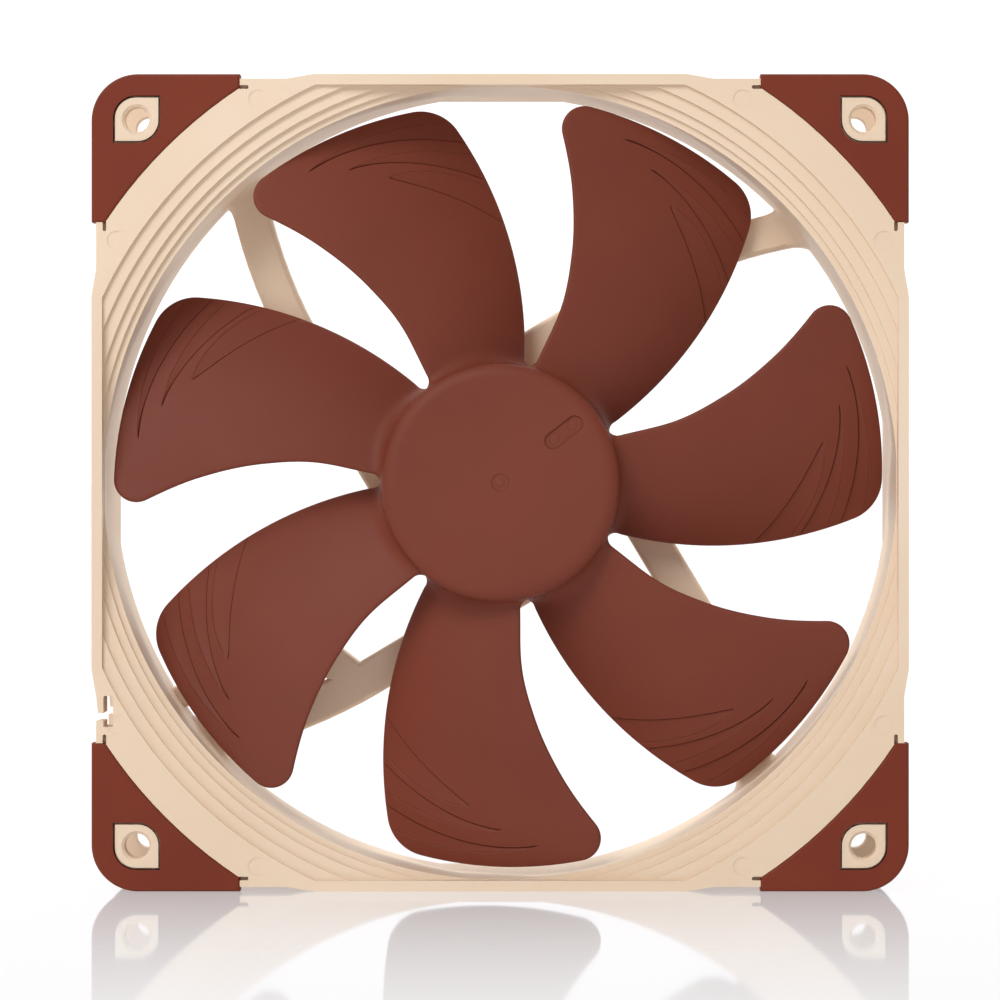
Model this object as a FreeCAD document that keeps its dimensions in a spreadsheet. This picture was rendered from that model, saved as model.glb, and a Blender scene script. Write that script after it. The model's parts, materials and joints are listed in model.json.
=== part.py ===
"""Case fan, 140 mm: parametric model of every piece of the fan.

Every piece is drawn face on: X to the right, Y up, Z towards the intake side.  A Placement then stands
the piece upright, so that in the finished model +Z is up, the intake faces -Y and the fan's axis is Y.
The origin is the middle of the fan.  "Depth" is the distance behind the intake plane.
"""
import FreeCAD, Part
import math
import os

import Sketcher

Vector = FreeCAD.Vector

SIZES = {
    # Envelope
    "fan_depth": 25.0,
    "half_width": 70.0,
    "corner_round": 8.0,
    "hole_offset": 62.25,
    "hole_radius": 2.15,
    "hole_chamfer": 0.45,
    # Flanges: their faces lie behind the pads' faces, and their edges inside the pads' skirts
    "face_inset": 0.2,
    "flange_thickness": 4.0,
    "flange_half": 69.2,
    "side_flat_half": 32.0,
    "side_slope_end": 36.5,
    "slope_ease": 1.6,
    # Duct
    "bore_radius": 68.3,
    "bore_flat_front": 68.2,
    "bore_flat_back": 67.4,
    "duct_outer": 70.3,
    "step_first": 69.4,
    "step_second": 70.9,
    "step_third": 73.0,
    "step_fourth": 75.2,
    "step_depth": 0.8,
    "core_wall": 1.8,
    "core_depth": 16.0,
    # Motor base and struts
    "base_radius": 21.0,
    "base_wall": 1.3,
    "base_rim_depth": 16.5,
    "base_floor": 2.2,
    "boss_radius": 6.5,
    "boss_front_depth": 14.4,
    "shoulder_radius": 7.3,
    "strut_width": 6.5,
    "strut_thickness": 4.5,
    "strut_angle": 31.0,
    "strut_straight": 36.7,
    "strut_bend": 87.0,
    "strut_inset": 0.3,
    "strut_end_left": 20.0,
    "strut_end_right": 22.2,
    "strut_round": 0.8,
    "guide_arm_width": 5.8,
    "guide_rail_width": 4.0,
    "channel_width": 3.4,
    "channel_depth": 2.8,
    "channel_start": 4.0,
    "channel_end": 21.0,
    "label_radius": 18.3,
    "label_thickness": 0.25,
    "label_recess": 0.3,
    # Corner pads
    "pad_end": 44.6,
    "pad_arc": 81.0,
    "pad_plate": 1.8,
    "pad_round": 0.5,
    "leaf_half": 4.05,
    "leaf_round": 3.9,
    "leaf_gap": 0.35,
    "leaf_inset": 0.3,
    # Cable slot in the flanges
    "slot_inner": 66.3,
    "slot_outer": 67.97,
    "slot_top": 36.5,
    "slot_bottom": 41.85,
    "slot_mouth_top": 39.45,
    "slot_mouth_bottom": 40.8,
    "slot_guide_depth": 7.0,
    # Hub and blades
    "hub_radius": 20.5,
    "hub_round": 1.5,
    "hub_front_depth": 1.5,
    "hub_back_depth": 16.0,
    "hub_face": 1.7,
    "blade_count": 7,
    "blade_tip": 66.6,
    "blade_thick_root": 1.9,
    "blade_thick_tip": 1.4,
    "blade_edge": 0.8,
    "blade_root_round": 1.8,
    "blade_root_sink": 0.5,
    "blade_camber": 0.3,
    "lead_root_depth": 5.3,
    "lead_tip_depth": 2.8,
    "trail_root_depth": 13.6,
    "trail_tip_depth": 18.0,
    "lead_corner": 4.0,
    "trail_corner": 7.5,
    "corner_overshoot": 5.0,
    # Rotor inside the hub
    "yoke_radius": 19.1,
    "yoke_wall": 1.0,
    "yoke_back_depth": 15.2,
    "yoke_hole": 5.0,
    "magnet_outer": 18.1,
    "magnet_inner": 16.0,
    "magnet_front_depth": 4.8,
    "seat_radius": 3.2,
    "seat_front_depth": 2.2,
    "seat_back_depth": 5.0,
    "shaft_radius": 1.5,
    "shaft_front_depth": 2.6,
    "shaft_back_depth": 21.9,
    "shaft_groove_radius": 1.1,
    "shaft_groove_width": 0.7,
    "washer_front_depth": 18.9,
    "washer_thickness": 0.5,
    "washer_outer": 2.6,
    # Bearing
    "shell_outer": 4.7,
    "shell_inner": 3.6,
    "shell_front_depth": 5.6,
    "shell_back_depth": 23.6,
    "shell_floor": 1.0,
    "sleeve_gap": 0.05,
    "sleeve_front_depth": 7.0,
    "sleeve_back_depth": 18.5,
    "seal_front_depth": 5.8,
    "seal_inner": 1.9,
    "thrust_front_depth": 22.0,
    "axial_magnet_front": 20.2,
    "axial_magnet_inner": 2.0,
    # Stator
    "stator_radius": 15.4,
    "stator_front_depth": 7.0,
    "stator_back_depth": 13.0,
    "tooth_count": 4,
    "tooth_width": 4.0,
    "yoke_ring": 7.4,
    "shoe_thickness": 2.0,
    "shoe_half_angle": 38.0,
    "insulator_thickness": 1.2,
    "coil_inner": 7.8,
    "coil_outer": 12.2,
    "coil_half_width": 4.6,
    "coil_overhang": 0.9,
    # Electronics
    "board_radius": 19.0,
    "board_hole": 7.0,
    "board_front_depth": 16.9,
    "board_thickness": 1.2,
    "pin_radius": 0.3,
    "pin_circle": 8.2,
    "pin_length": 4.7,
}

# Corners of the cable guide beside the lower left strut, seen face on: hub end, bend and duct end
GUIDE = (Vector(-26.3, -34.3), Vector(-32.7, -29.3), Vector(-58.2, -38.3))
# Straight end of the cable channel, from the strut to the cable slot
CHANNEL_END = (Vector(-50.2, -44.9), Vector(-66.9, -39.2))
# Blade outline, seen face on: radius and angle of the leading edge of the blade at three o'clock
LEAD_EDGE = ((15.0, 24.6), (20.5, 22.2), (31.0, 19.5), (41.0, 21.2), (51.6, 24.7), (60.0, 28.1), (66.6, 30.9))
# Its trailing edge is a parabola of the radius: angle at the hub, then degrees per mm and per mm squared
TRAIL_EDGE = (-24.15, 0.406, 0.00085)

doc = FreeCAD.newDocument("CaseFan")
sheet = doc.addObject("Spreadsheet::Sheet", "Sizes")
for row, (alias, number) in enumerate(SIZES.items(), start=1):
    sheet.set(f"A{row}", alias)
    sheet.set(f"B{row}", str(number))
    sheet.setAlias(f"B{row}", alias)
doc.recompute()

STAND_UP = FreeCAD.Rotation(Vector(1, 0, 0), 90)
sub_parts = []


def size(alias):
    """The number in the sheet under this alias."""
    return float(sheet.get(alias))


def height_of(depth):
    """Face-on Z of a point at this depth behind the intake plane."""
    return size("fan_depth") / 2 - depth


def polar(radius, degrees, height=0.0):
    angle = math.radians(degrees)
    return Vector(radius * math.cos(angle), radius * math.sin(angle), height)


def finish(item, label):
    """Name a sub-part, stand it upright and keep it for export."""
    item.Label = label
    expressions = {path.lstrip("."): expression for path, expression in item.ExpressionEngine}
    lift = expressions.get("Placement.Base.z")
    item.setExpression("Placement.Base.z", None)
    item.Placement = FreeCAD.Placement(Vector(), STAND_UP).multiply(item.Placement)
    if lift is not None:
        item.setExpression("Placement.Base.y", f"-({lift})")
    sub_parts.append(item)
    return item


# ---------------------------------------------------------------- sketches and bodies

def new_body(name):
    return doc.addObject("PartDesign::Body", name)


def plane_of(body, role):
    return next(item for item in body.Origin.OriginFeatures if item.Role == role)


def new_sketch(body, name, height="0", role="XY_Plane"):
    """A sketch parallel to one of the body's origin planes, lifted by an expression."""
    sketch = body.newObject("Sketcher::SketchObject", name)
    sketch.AttachmentSupport = (plane_of(body, role), [""])
    sketch.MapMode = "FlatFace"
    sketch.setExpression("AttachmentOffset.Base.z", height)
    return sketch


def add_circle(sketch, radius_expression, centre=None, centre_expressions=None):
    """A circle whose radius, and centre if it isn't the origin, follow the sheet."""
    middle = centre or Vector()
    index = sketch.addGeometry(Part.Circle(middle, Vector(0, 0, 1), 1.0), False)
    if centre_expressions is None:
        sketch.addConstraint(Sketcher.Constraint("Coincident", index, 3, -1, 1))
    else:
        kinds = ("DistanceX", "DistanceY")
        for kind, start, expression in zip(kinds, (middle.x, middle.y), centre_expressions):
            number = sketch.addConstraint(Sketcher.Constraint(kind, -1, 1, index, 3, start))
            sketch.setExpression(f"Constraints[{number}]", expression)
    number = sketch.addConstraint(Sketcher.Constraint("Radius", index, 1.0))
    sketch.setExpression(f"Constraints[{number}]", radius_expression)
    return index


def add_outline(sketch, points):
    """A closed outline of straight lines; a (point, radius) pair rounds that corner with an arc."""
    corners = [item if isinstance(item, tuple) else (item, 0.0) for item in points]
    stretches = []
    for number, (corner, radius) in enumerate(corners):
        before = corners[number - 1][0]
        after = corners[(number + 1) % len(corners)][0]
        if radius == 0:
            stretches.append((corner, None, corner))
            continue
        back = (before - corner).normalize()
        ahead = (after - corner).normalize()
        half = back.getAngle(ahead) / 2
        reach = radius / math.tan(half)
        start = corner + back * reach
        end = corner + ahead * reach
        middle = corner + (back + ahead).normalize() * (radius / math.sin(half) - radius)
        stretches.append((start, middle, end))
    for number, (start, middle, end) in enumerate(stretches):
        if middle is not None:
            sketch.addGeometry(Part.Arc(start, middle, end), False)
        following = stretches[(number + 1) % len(stretches)][0]
        if end.distanceToPoint(following) > 1e-6:
            sketch.addGeometry(Part.LineSegment(end, following), False)


def add_clipped_circle(sketch, radius, half):
    """A circle about the origin, cut off by the four sides of a square."""
    if radius <= half:
        sketch.addGeometry(Part.Circle(Vector(), Vector(0, 0, 1), radius), False)
        return
    cut = math.degrees(math.acos(half / radius))
    for quarter in range(4):
        start = quarter * 90 + cut
        end = (quarter + 1) * 90 - cut
        if end - start > 1e-6:
            arc = [polar(radius, degrees) for degrees in (start, (start + end) / 2, end)]
            sketch.addGeometry(Part.Arc(*arc), False)
        sketch.addGeometry(Part.LineSegment(polar(radius, end), polar(radius, end + 2 * cut)), False)


def add_pad(body, name, sketch, length):
    pad = body.newObject("PartDesign::Pad", name)
    pad.Profile = sketch
    pad.Refine = False
    pad.setExpression("Length", length)
    doc.recompute()
    return pad


def add_pocket(body, name, sketch, length, towards_front=False):
    """Cut from the sketch's plane, to the rear unless told otherwise, and check that something was cut."""
    before = body.Shape.Volume
    pocket = body.newObject("PartDesign::Pocket", name)
    pocket.Profile = sketch
    pocket.Refine = False
    pocket.setExpression("Length", length)
    pocket.Reversed = towards_front
    doc.recompute()
    if not body.Shape.Volume < before:
        raise RuntimeError(f"{name} cut nothing")
    return pocket


def add_polar(body, name, originals, count):
    pattern = body.newObject("PartDesign::PolarPattern", name)
    pattern.Originals = originals
    pattern.Refine = False
    pattern.Axis = (plane_of(body, "Z_Axis"), [""])
    pattern.Angle = 360
    pattern.Occurrences = count
    body.Tip = pattern
    doc.recompute()
    return pattern


def turned(points, degrees):
    """The same outline points, turned about the origin."""
    turn = FreeCAD.Rotation(Vector(0, 0, 1), degrees)
    return moved(points, turn.multVec)


def moved(points, move):
    """The same outline points after a move; rounded corners keep their radius."""
    return [(move(item[0]), item[1]) if isinstance(item, tuple) else move(item) for item in points]


# ---------------------------------------------------------------- round pieces

def cylinder(name, radius, front, back):
    """A cylinder on the fan's axis between two depths; all three are expressions of the sheet."""
    item = doc.addObject("Part::Cylinder", name)
    item.setExpression("Radius", radius)
    item.setExpression("Height", f"({back}) - ({front})")
    item.setExpression("Placement.Base.z", f"Sizes.fan_depth / 2 - ({back})")
    return item


def joined(kind, name, first, second):
    """A Part::Cut, Part::Fuse or Part::Common of two objects."""
    item = doc.addObject(kind, name)
    item.Base = first
    item.Tool = second
    return item


def ring(name, outer, inner, front, back):
    return joined("Part::Cut", name, cylinder(name + "_outer", outer, front, back),
                  cylinder(name + "_inner", inner, front, back))


# ---------------------------------------------------------------- frame

def inner_corner_round():
    """Corner radius of the flange, inside the pad's skirt."""
    return size("corner_round") - (size("half_width") - size("flange_half"))


def flange_outline(half_flat, half_corner, corner_round):
    """Square outline whose four sides bulge in the middle; the slopes are short S curves."""
    flat = size("side_flat_half")
    slope = size("side_slope_end")
    ease = (slope - flat) * size("slope_ease")
    one_side = [
        (Vector(half_corner, -half_corner), corner_round),
        (Vector(half_corner, -slope), ease),
        (Vector(half_flat, -flat), ease),
        (Vector(half_flat, flat), ease),
        (Vector(half_corner, slope), ease),
    ]
    return [point for quarter in range(4) for point in turned(one_side, quarter * 90)]


def duct_outline():
    """Round duct with a flat wall in the middle of each side."""
    radius = size("duct_outer")
    half = size("half_width")
    flat = size("side_flat_half")
    edges = []
    cut = math.degrees(math.asin(flat / radius))
    for quarter in range(4):
        low, high = turned([Vector(half, -flat), Vector(half, flat)], quarter * 90)
        leave = polar(radius, quarter * 90 + cut)
        reach = polar(radius, quarter * 90 + 90 - cut)
        middle = polar(radius, quarter * 90 + 45)
        following = turned([Vector(half, -flat)], quarter * 90 + 90)[0]
        edges += [Part.LineSegment(low, high), Part.LineSegment(high, leave), Part.Arc(leave, middle, reach),
                  Part.LineSegment(reach, following)]
    return edges


def core_cell(side):
    """Triangular pocket between the duct and the flat side wall, which keeps the wall thin."""
    wall = size("half_width") - size("core_wall")
    end = side * (size("side_flat_half") - size("core_wall"))
    radius = size("duct_outer")
    inner_x = math.sqrt(radius ** 2 - end ** 2)
    start = side * math.sqrt(radius ** 2 - wall ** 2)
    middle_y = (start + end) / 2
    middle = Vector(math.sqrt(radius ** 2 - middle_y ** 2), middle_y)
    tip = Vector(wall, start)
    far = Vector(wall, end)
    near = Vector(inner_x, end)
    return [Part.LineSegment(tip, far), Part.LineSegment(far, near), Part.Arc(near, middle, tip)]


def strut_line():
    """Start, straight end and bend centre of the strut that leaves the motor base at the top."""
    angle = size("strut_angle")
    along = polar(1, angle)
    left = polar(1, angle + 90)
    start = left * (size("base_radius") - size("strut_width") / 2 - size("strut_inset"))
    bend_start = start + along * size("strut_straight")
    centre = bend_start - left * size("strut_bend")
    return start, bend_start, centre


def strut_strip(half_width, reach_left, reach_right, lead=0.0):
    """Edges of the strip along a strut; its ends lie at these turns, in degrees, round the bend."""
    start, bend_start, centre = strut_line()
    angle = size("strut_angle")
    bend = size("strut_bend")
    along = polar(1, angle)
    left = polar(1, angle + 90)
    edges = []
    ends = []
    for side, reach in ((1, reach_left), (-1, reach_right)):
        offset = left * (side * half_width)
        radius = bend + side * half_width
        first = start + offset - along * lead
        turn = bend_start + offset
        far = centre + polar(radius, angle + 90 - reach)
        middle = centre + polar(radius, angle + 90 - reach / 2)
        edges += [Part.LineSegment(first, turn), Part.Arc(turn, middle, far)]
        ends.append((first, far))
    (first_left, far_left), (first_right, far_right) = ends
    edges += [Part.LineSegment(first_left, first_right), Part.LineSegment(far_left, far_right)]
    return edges


def leaf(half, round_radius):
    """Square about a screw hole; the corners towards the frame's corner and the fan's middle are round."""
    offset = size("hole_offset")
    low = offset - half
    high = offset + half
    return [(Vector(low, low), round_radius), Vector(high, low), (Vector(high, high), round_radius),
            Vector(low, high)]


def pad_region(half, corner_round):
    """Edges of the corner region that a pad covers, seen face on, in the first quarter."""
    end = size("pad_end")
    arc = size("pad_arc")
    inner = math.sqrt(arc ** 2 - end ** 2)
    low = Vector(inner, end)
    high = Vector(end, inner)
    bulge = polar(arc, 45)
    corner = Vector(half - corner_round, half - corner_round)
    side = Vector(half, half - corner_round)
    top = Vector(half - corner_round, half)
    return [Part.Arc(low, bulge, high), Part.LineSegment(high, Vector(end, half)),
            Part.LineSegment(Vector(end, half), top), Part.Arc(top, corner + polar(corner_round, 45), side),
            Part.LineSegment(side, Vector(half, end)), Part.LineSegment(Vector(half, end), low)]


def add_flanges(body):
    """Front and rear flange, and the duct between them."""
    front = "Sizes.fan_depth / 2 - Sizes.face_inset"
    plates = (("front_flange", f"{front} - Sizes.flange_thickness"), ("rear_flange", f"-({front})"))
    for name, height in plates:
        sketch = new_sketch(body, name + "_outline", height)
        add_outline(sketch, flange_outline(size("half_width"), size("flange_half"), inner_corner_round()))
        add_pad(body, name, sketch, "Sizes.flange_thickness")
    sketch = new_sketch(body, "duct_outline", f"-({front}) + Sizes.flange_thickness")
    sketch.addGeometry(duct_outline(), False)
    add_pad(body, "duct", sketch, f"2 * ({front} - Sizes.flange_thickness)")


def add_slot_guide(body):
    """Thicker flange behind the cable slot."""
    margin = 1.1
    left = -(size("slot_outer") + margin)
    right = -(size("slot_inner") - margin)
    top = -(size("slot_top") - margin)
    bottom = -(size("slot_bottom") + margin)
    sketch = new_sketch(body, "slot_guide_outline", "Sizes.fan_depth / 2 - Sizes.slot_guide_depth")
    add_outline(sketch, [Vector(left, bottom), Vector(right, bottom), Vector(right, top), Vector(left, top)])
    add_pad(body, "slot_guide", sketch, "Sizes.slot_guide_depth - 1")


def cut_duct(body):
    """Cored-out side walls, the drafted bore and the four steps of the inlet."""
    rear = "-(Sizes.fan_depth / 2 - Sizes.face_inset)"
    sketch = new_sketch(body, "core_outline", rear)
    for side in (1, -1):
        sketch.addGeometry(core_cell(side), False)
    cells = add_pocket(body, "side_cores", sketch, "Sizes.core_depth", towards_front=True)
    add_polar(body, "side_cores_round", [cells], 4)
    before = body.Shape.Volume
    rings = []
    for name, height, flat in (("bore_back", f"{rear} - 1", "bore_flat_back"),
                               ("bore_front", f"1 - ({rear})", "bore_flat_front")):
        sketch = new_sketch(body, name, height)
        add_clipped_circle(sketch, size("bore_radius"), size(flat))
        rings.append(sketch)
    bore = body.newObject("PartDesign::SubtractiveLoft", "bore")
    bore.Profile = rings[0]
    bore.Sections = [rings[1]]
    bore.Ruled = True
    bore.Refine = False
    doc.recompute()
    if not body.Shape.Volume < before:
        raise RuntimeError("the bore cut nothing")
    for number, alias in enumerate(("step_fourth", "step_third", "step_second", "step_first"), start=1):
        sketch = new_sketch(body, alias + "_outline", f"-({rear})")
        add_clipped_circle(sketch, size(alias), size("bore_flat_front"))
        add_pocket(body, alias, sketch, f"{number} * Sizes.step_depth")


def add_struts(body):
    """Four struts, tangent to the motor base, and the cable guide beside the lower left one."""
    floor = "Sizes.face_inset - Sizes.fan_depth / 2"
    sketch = new_sketch(body, "strut_outline", floor)
    outline = strut_strip(size("strut_width") / 2, size("strut_end_left"), size("strut_end_right"))
    sketch.addGeometry(outline, False)
    strut = add_pad(body, "strut", sketch, "Sizes.strut_thickness")
    add_polar(body, "struts", [strut], 4)
    for name, start, end in (("guide_arm", *GUIDE[:2]), ("guide_rail", *GUIDE[1:])):
        along = (end - start).normalize()
        across = Vector(-along.y, along.x) * (size(name + "_width") / 2)
        past = along * 1.4
        sketch = new_sketch(body, name + "_outline", floor)
        add_outline(sketch, [start + across, start - across, end - across + past, end + across + past])
        add_pad(body, name, sketch, "Sizes.strut_thickness")


def add_motor_base(body):
    """Cup that carries the bearing, the stator and the circuit board."""
    floor = "Sizes.face_inset - Sizes.fan_depth / 2"
    middle = "Sizes.fan_depth / 2"
    sketch = new_sketch(body, "base_outline", floor)
    add_circle(sketch, "Sizes.base_radius")
    add_pad(body, "base", sketch, "Sizes.fan_depth - Sizes.face_inset - Sizes.base_rim_depth")
    sketch = new_sketch(body, "cup_outline", f"{middle} - Sizes.base_rim_depth")
    add_circle(sketch, "Sizes.base_radius - Sizes.base_wall")
    add_pocket(body, "cup", sketch,
               "Sizes.fan_depth - Sizes.face_inset - Sizes.base_rim_depth - Sizes.base_floor")
    for name, radius, depth in (("shoulder", "shoulder_radius", "board_front_depth + Sizes.board_thickness"),
                                ("boss", "boss_radius", "boss_front_depth")):
        sketch = new_sketch(body, name + "_outline", f"{floor} + Sizes.base_floor - 0.5")
        add_circle(sketch, f"Sizes.{radius}")
        add_pad(body, name, sketch,
                f"Sizes.fan_depth - Sizes.face_inset - Sizes.base_floor + 0.5 - (Sizes.{depth})")
    sketch = new_sketch(body, "bearing_hole", f"{middle} - Sizes.boss_front_depth")
    add_circle(sketch, "Sizes.shell_outer")
    add_pocket(body, "bearing_seat", sketch, "Sizes.shell_back_depth - Sizes.boss_front_depth")
    sketch = new_sketch(body, "label_outline", floor)
    add_circle(sketch, "Sizes.label_radius + 0.2")
    add_pocket(body, "label_recess", sketch, "Sizes.label_recess", towards_front=True)


def add_corners(body):
    """Per corner, front and rear: recess for the pad, leaf boss, screw hole, moulding-pin marks."""
    face = "Sizes.fan_depth / 2 - Sizes.face_inset"
    end = size("pad_end")
    slot_low, slot_high, slot_end = 67.45, 68.1, end - 1.5
    mark_far, mark_near, mark_radius = 65.7, 41.5, 1.6
    for side, sign, forward in (("front", "", False), ("rear", "-1 * ", True)):
        recess = f"{sign}({face})"
        sketch = new_sketch(body, side + "_recess_outline", recess)
        sketch.addGeometry(pad_region(size("half_width") + 1, size("corner_round")), False)
        cut = add_pocket(body, side + "_recess", sketch, "Sizes.pad_plate - Sizes.face_inset", forward)
        add_polar(body, side + "_recesses", [cut], 4)
        sketch = new_sketch(body, side + "_slot_outline", recess)
        for flip in (False, True):
            box = [Vector(slot_high, end + 0.1), Vector(slot_low, end + 0.1),
                   (Vector(slot_low, slot_end), 0.3), (Vector(slot_high, slot_end), 0.3)]
            add_outline(sketch, moved(box, lambda spot: Vector(spot.y, spot.x)) if flip else box)
        cut = add_pocket(body, side + "_slot", sketch, "Sizes.pad_plate - Sizes.face_inset", forward)
        add_polar(body, side + "_slots", [cut], 4)
        sketch = new_sketch(body, side + "_marks_outline", recess)
        for x, y in ((mark_far, mark_near), (mark_near, mark_far)):
            sketch.addGeometry(Part.Circle(Vector(x, y), Vector(0, 0, 1), mark_radius), False)
        cut = add_pocket(body, side + "_marks", sketch, "0.12", forward)
        add_polar(body, side + "_marks_round", [cut], 4)
        base = "Sizes.fan_depth / 2 - Sizes.pad_plate"
        tall = "Sizes.pad_plate - Sizes.leaf_inset"
        start = base if side == "front" else f"-({base}) - ({tall})"
        sketch = new_sketch(body, side + "_leaf_outline", start)
        add_outline(sketch, leaf(size("leaf_half") - size("leaf_gap"), size("leaf_round") - size("leaf_gap")))
        boss = add_pad(body, side + "_leaf", sketch, tall)
        add_polar(body, side + "_leaves", [boss], 4)
    sketch = new_sketch(body, "hole_outline", "Sizes.fan_depth / 2 + 1")
    centre = Vector(size("hole_offset"), size("hole_offset"))
    add_circle(sketch, "Sizes.hole_radius", centre, ("Sizes.hole_offset", "Sizes.hole_offset"))
    holes = add_pocket(body, "hole", sketch, "Sizes.fan_depth + 2")
    add_polar(body, "holes", [holes], 4)


def cut_cable_way(body):
    """T-shaped slot in both flanges, and the channel behind the lower left strut that leads to it."""
    left = size("half_width") + 2
    inner, outer = size("slot_inner"), size("slot_outer")
    top, bottom = size("slot_top"), size("slot_bottom")
    mouth_top, mouth_bottom = size("slot_mouth_top"), size("slot_mouth_bottom")
    sketch = new_sketch(body, "cable_slot_outline", "Sizes.fan_depth / 2 + 1")
    add_outline(sketch, [
        (Vector(-inner, -top), 0.4), (Vector(-outer, -top), 0.3), Vector(-outer, -mouth_top),
        Vector(-left, -mouth_top), Vector(-left, -mouth_bottom), Vector(-outer, -mouth_bottom),
        (Vector(-outer, -bottom), 0.3), (Vector(-inner, -bottom), 0.4)])
    add_pocket(body, "cable_slot", sketch, "Sizes.fan_depth + 2")
    sketch = new_sketch(body, "slot_slope_outline", "Sizes.fan_depth / 2 + 1")
    edge = size("flange_half")
    low_edge = size("half_width") - 1.1
    add_outline(sketch, [Vector(-edge - 2, -size("side_slope_end")), Vector(-edge, -size("side_slope_end")),
                         Vector(-low_edge, -mouth_top), Vector(-low_edge - 2, -mouth_top)])
    add_pocket(body, "slot_slope", sketch, "Sizes.fan_depth + 2")
    rear = "Sizes.face_inset - Sizes.fan_depth / 2"
    turn = FreeCAD.Placement(Vector(), FreeCAD.Rotation(Vector(0, 0, 1), 180))
    sketch = new_sketch(body, "channel_outline", rear)
    end = size("channel_end")
    for edge_line in strut_strip(size("channel_width") / 2, end, end, lead=-size("channel_start")):
        edge_line.transform(turn.toMatrix())
        sketch.addGeometry(edge_line, False)
    add_pocket(body, "channel", sketch, "Sizes.channel_depth", towards_front=True)
    start, end = CHANNEL_END
    along = (end - start).normalize()
    across = Vector(-along.y, along.x) * (size("channel_width") / 2)
    sketch = new_sketch(body, "channel_end_outline", rear)
    add_outline(sketch, [start + across, start - across, end - across, end + across])
    add_pocket(body, "channel_end", sketch, "Sizes.channel_depth", towards_front=True)


def round_edges(body, name, radius, wanted, kind="PartDesign::Fillet"):
    """Fillet or chamfer the edges of the finished body that the test picks out."""
    shape = body.Shape
    names = [f"Edge{number}" for number, edge in enumerate(shape.Edges, start=1) if wanted(edge)]
    if not names:
        raise RuntimeError(f"{name}: no edges found")
    base = body.Tip
    feature = body.newObject(kind, name)
    feature.Base = (base, names)
    feature.setExpression("Radius" if kind.endswith("Fillet") else "Size", radius)
    body.Tip = feature
    doc.recompute()
    return feature


def is_hole_rim(edge):
    """Circular edge of a screw hole on a leaf boss's outer face."""
    if not isinstance(edge.Curve, Part.Circle) or abs(edge.Curve.Radius - size("hole_radius")) > 1e-4:
        return False
    level = size("fan_depth") / 2 - size("leaf_inset")
    return abs(abs(edge.Curve.Center.z) - level) < 1e-4


def is_strut_lip(edge):
    """Edge of a strut's or the cable guide's front face, apart from where it meets the base or the bore."""
    level = size("face_inset") - size("fan_depth") / 2 + size("strut_thickness")
    box = edge.BoundBox
    if max(abs(box.ZMin - level), abs(box.ZMax - level)) > 1e-4:
        return False
    radii = [math.hypot(end.X, end.Y) for end in edge.Vertexes]
    on_base = max(abs(radius - size("base_radius")) for radius in radii) < 0.02
    on_wall = min(radii) > size("bore_flat_back")
    return not on_base and not on_wall


def make_frame():
    body = new_body("frame_body")
    add_flanges(body)
    add_slot_guide(body)
    cut_duct(body)
    add_struts(body)
    add_motor_base(body)
    add_corners(body)
    cut_cable_way(body)
    round_edges(body, "hole_rims", "Sizes.hole_chamfer", is_hole_rim, "PartDesign::Chamfer")
    item = doc.addObject("Part::Feature", "frame_with_round_struts")
    shape = body.Shape
    item.Shape = shape.makeFillet(size("strut_round"), [edge for edge in shape.Edges if is_strut_lip(edge)])
    return finish(item, "frame")


# ---------------------------------------------------------------- corner pads

def make_corner_pad(label, quarter, rear):
    """Rubber plate over a corner of a flange, with a skirt round the flange's edge."""
    body = new_body(label)
    skirt_depth = "Sizes.face_inset + Sizes.flange_thickness"
    sketch = new_sketch(body, label + "_outline", f"Sizes.fan_depth / 2 - ({skirt_depth})")
    sketch.addGeometry(pad_region(size("half_width"), size("corner_round")), False)
    add_pad(body, label + "_block", sketch, skirt_depth)
    sketch = new_sketch(body, label + "_inside", "Sizes.fan_depth / 2 - Sizes.pad_plate")
    end = size("pad_end")
    half = size("flange_half")
    add_outline(sketch, [Vector(end - 8, end - 8), Vector(half, end - 8),
                         (Vector(half, half), inner_corner_round()), Vector(end - 8, half)])
    add_pocket(body, label + "_hollow", sketch, "Sizes.flange_thickness")
    sketch = new_sketch(body, label + "_leaf", "Sizes.fan_depth / 2")
    add_outline(sketch, leaf(size("leaf_half"), size("leaf_round")))
    add_pocket(body, label + "_window", sketch, "Sizes.pad_plate")
    front = size("fan_depth") / 2

    def is_face_rim(edge):
        box = edge.BoundBox
        on_face = box.ZMin > front - 1e-4
        middle = size("hole_offset")
        near_leaf = abs(edge.CenterOfMass.x - middle) < 4.5 and abs(edge.CenterOfMass.y - middle) < 4.5
        return on_face and not near_leaf

    round_edges(body, label + "_rim", "Sizes.pad_round", is_face_rim)
    body.Placement = FreeCAD.Placement(Vector(), FreeCAD.Rotation(Vector(0, 0, 1), 90 * quarter))
    if rear:
        turn_over = FreeCAD.Rotation(polar(1, 45), 180)
        body.Placement = body.Placement.multiply(FreeCAD.Placement(Vector(), turn_over))
    return finish(body, label)


# ---------------------------------------------------------------- impeller

def curve_through(stations, position):
    """Smooth curve through (position, value) stations: a cubic between each pair, slopes from neighbours."""
    last = len(stations) - 1
    number = 0
    while number < last - 1 and position > stations[number + 1][0]:
        number += 1

    def slope(at):
        low = stations[max(at - 1, 0)]
        high = stations[min(at + 1, last)]
        return (high[1] - low[1]) / (high[0] - low[0])

    (x_low, y_low), (x_high, y_high) = stations[number], stations[number + 1]
    span = x_high - x_low
    part = (position - x_low) / span
    square, cube = part ** 2, part ** 3
    return ((2 * cube - 3 * square + 1) * y_low + (cube - 2 * square + part) * span * slope(number)
            + (3 * square - 2 * cube) * y_high + (cube - square) * span * slope(number + 1))


def lead_angle(radius):
    return curve_through(LEAD_EDGE, min(radius, size("blade_tip")))


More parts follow.
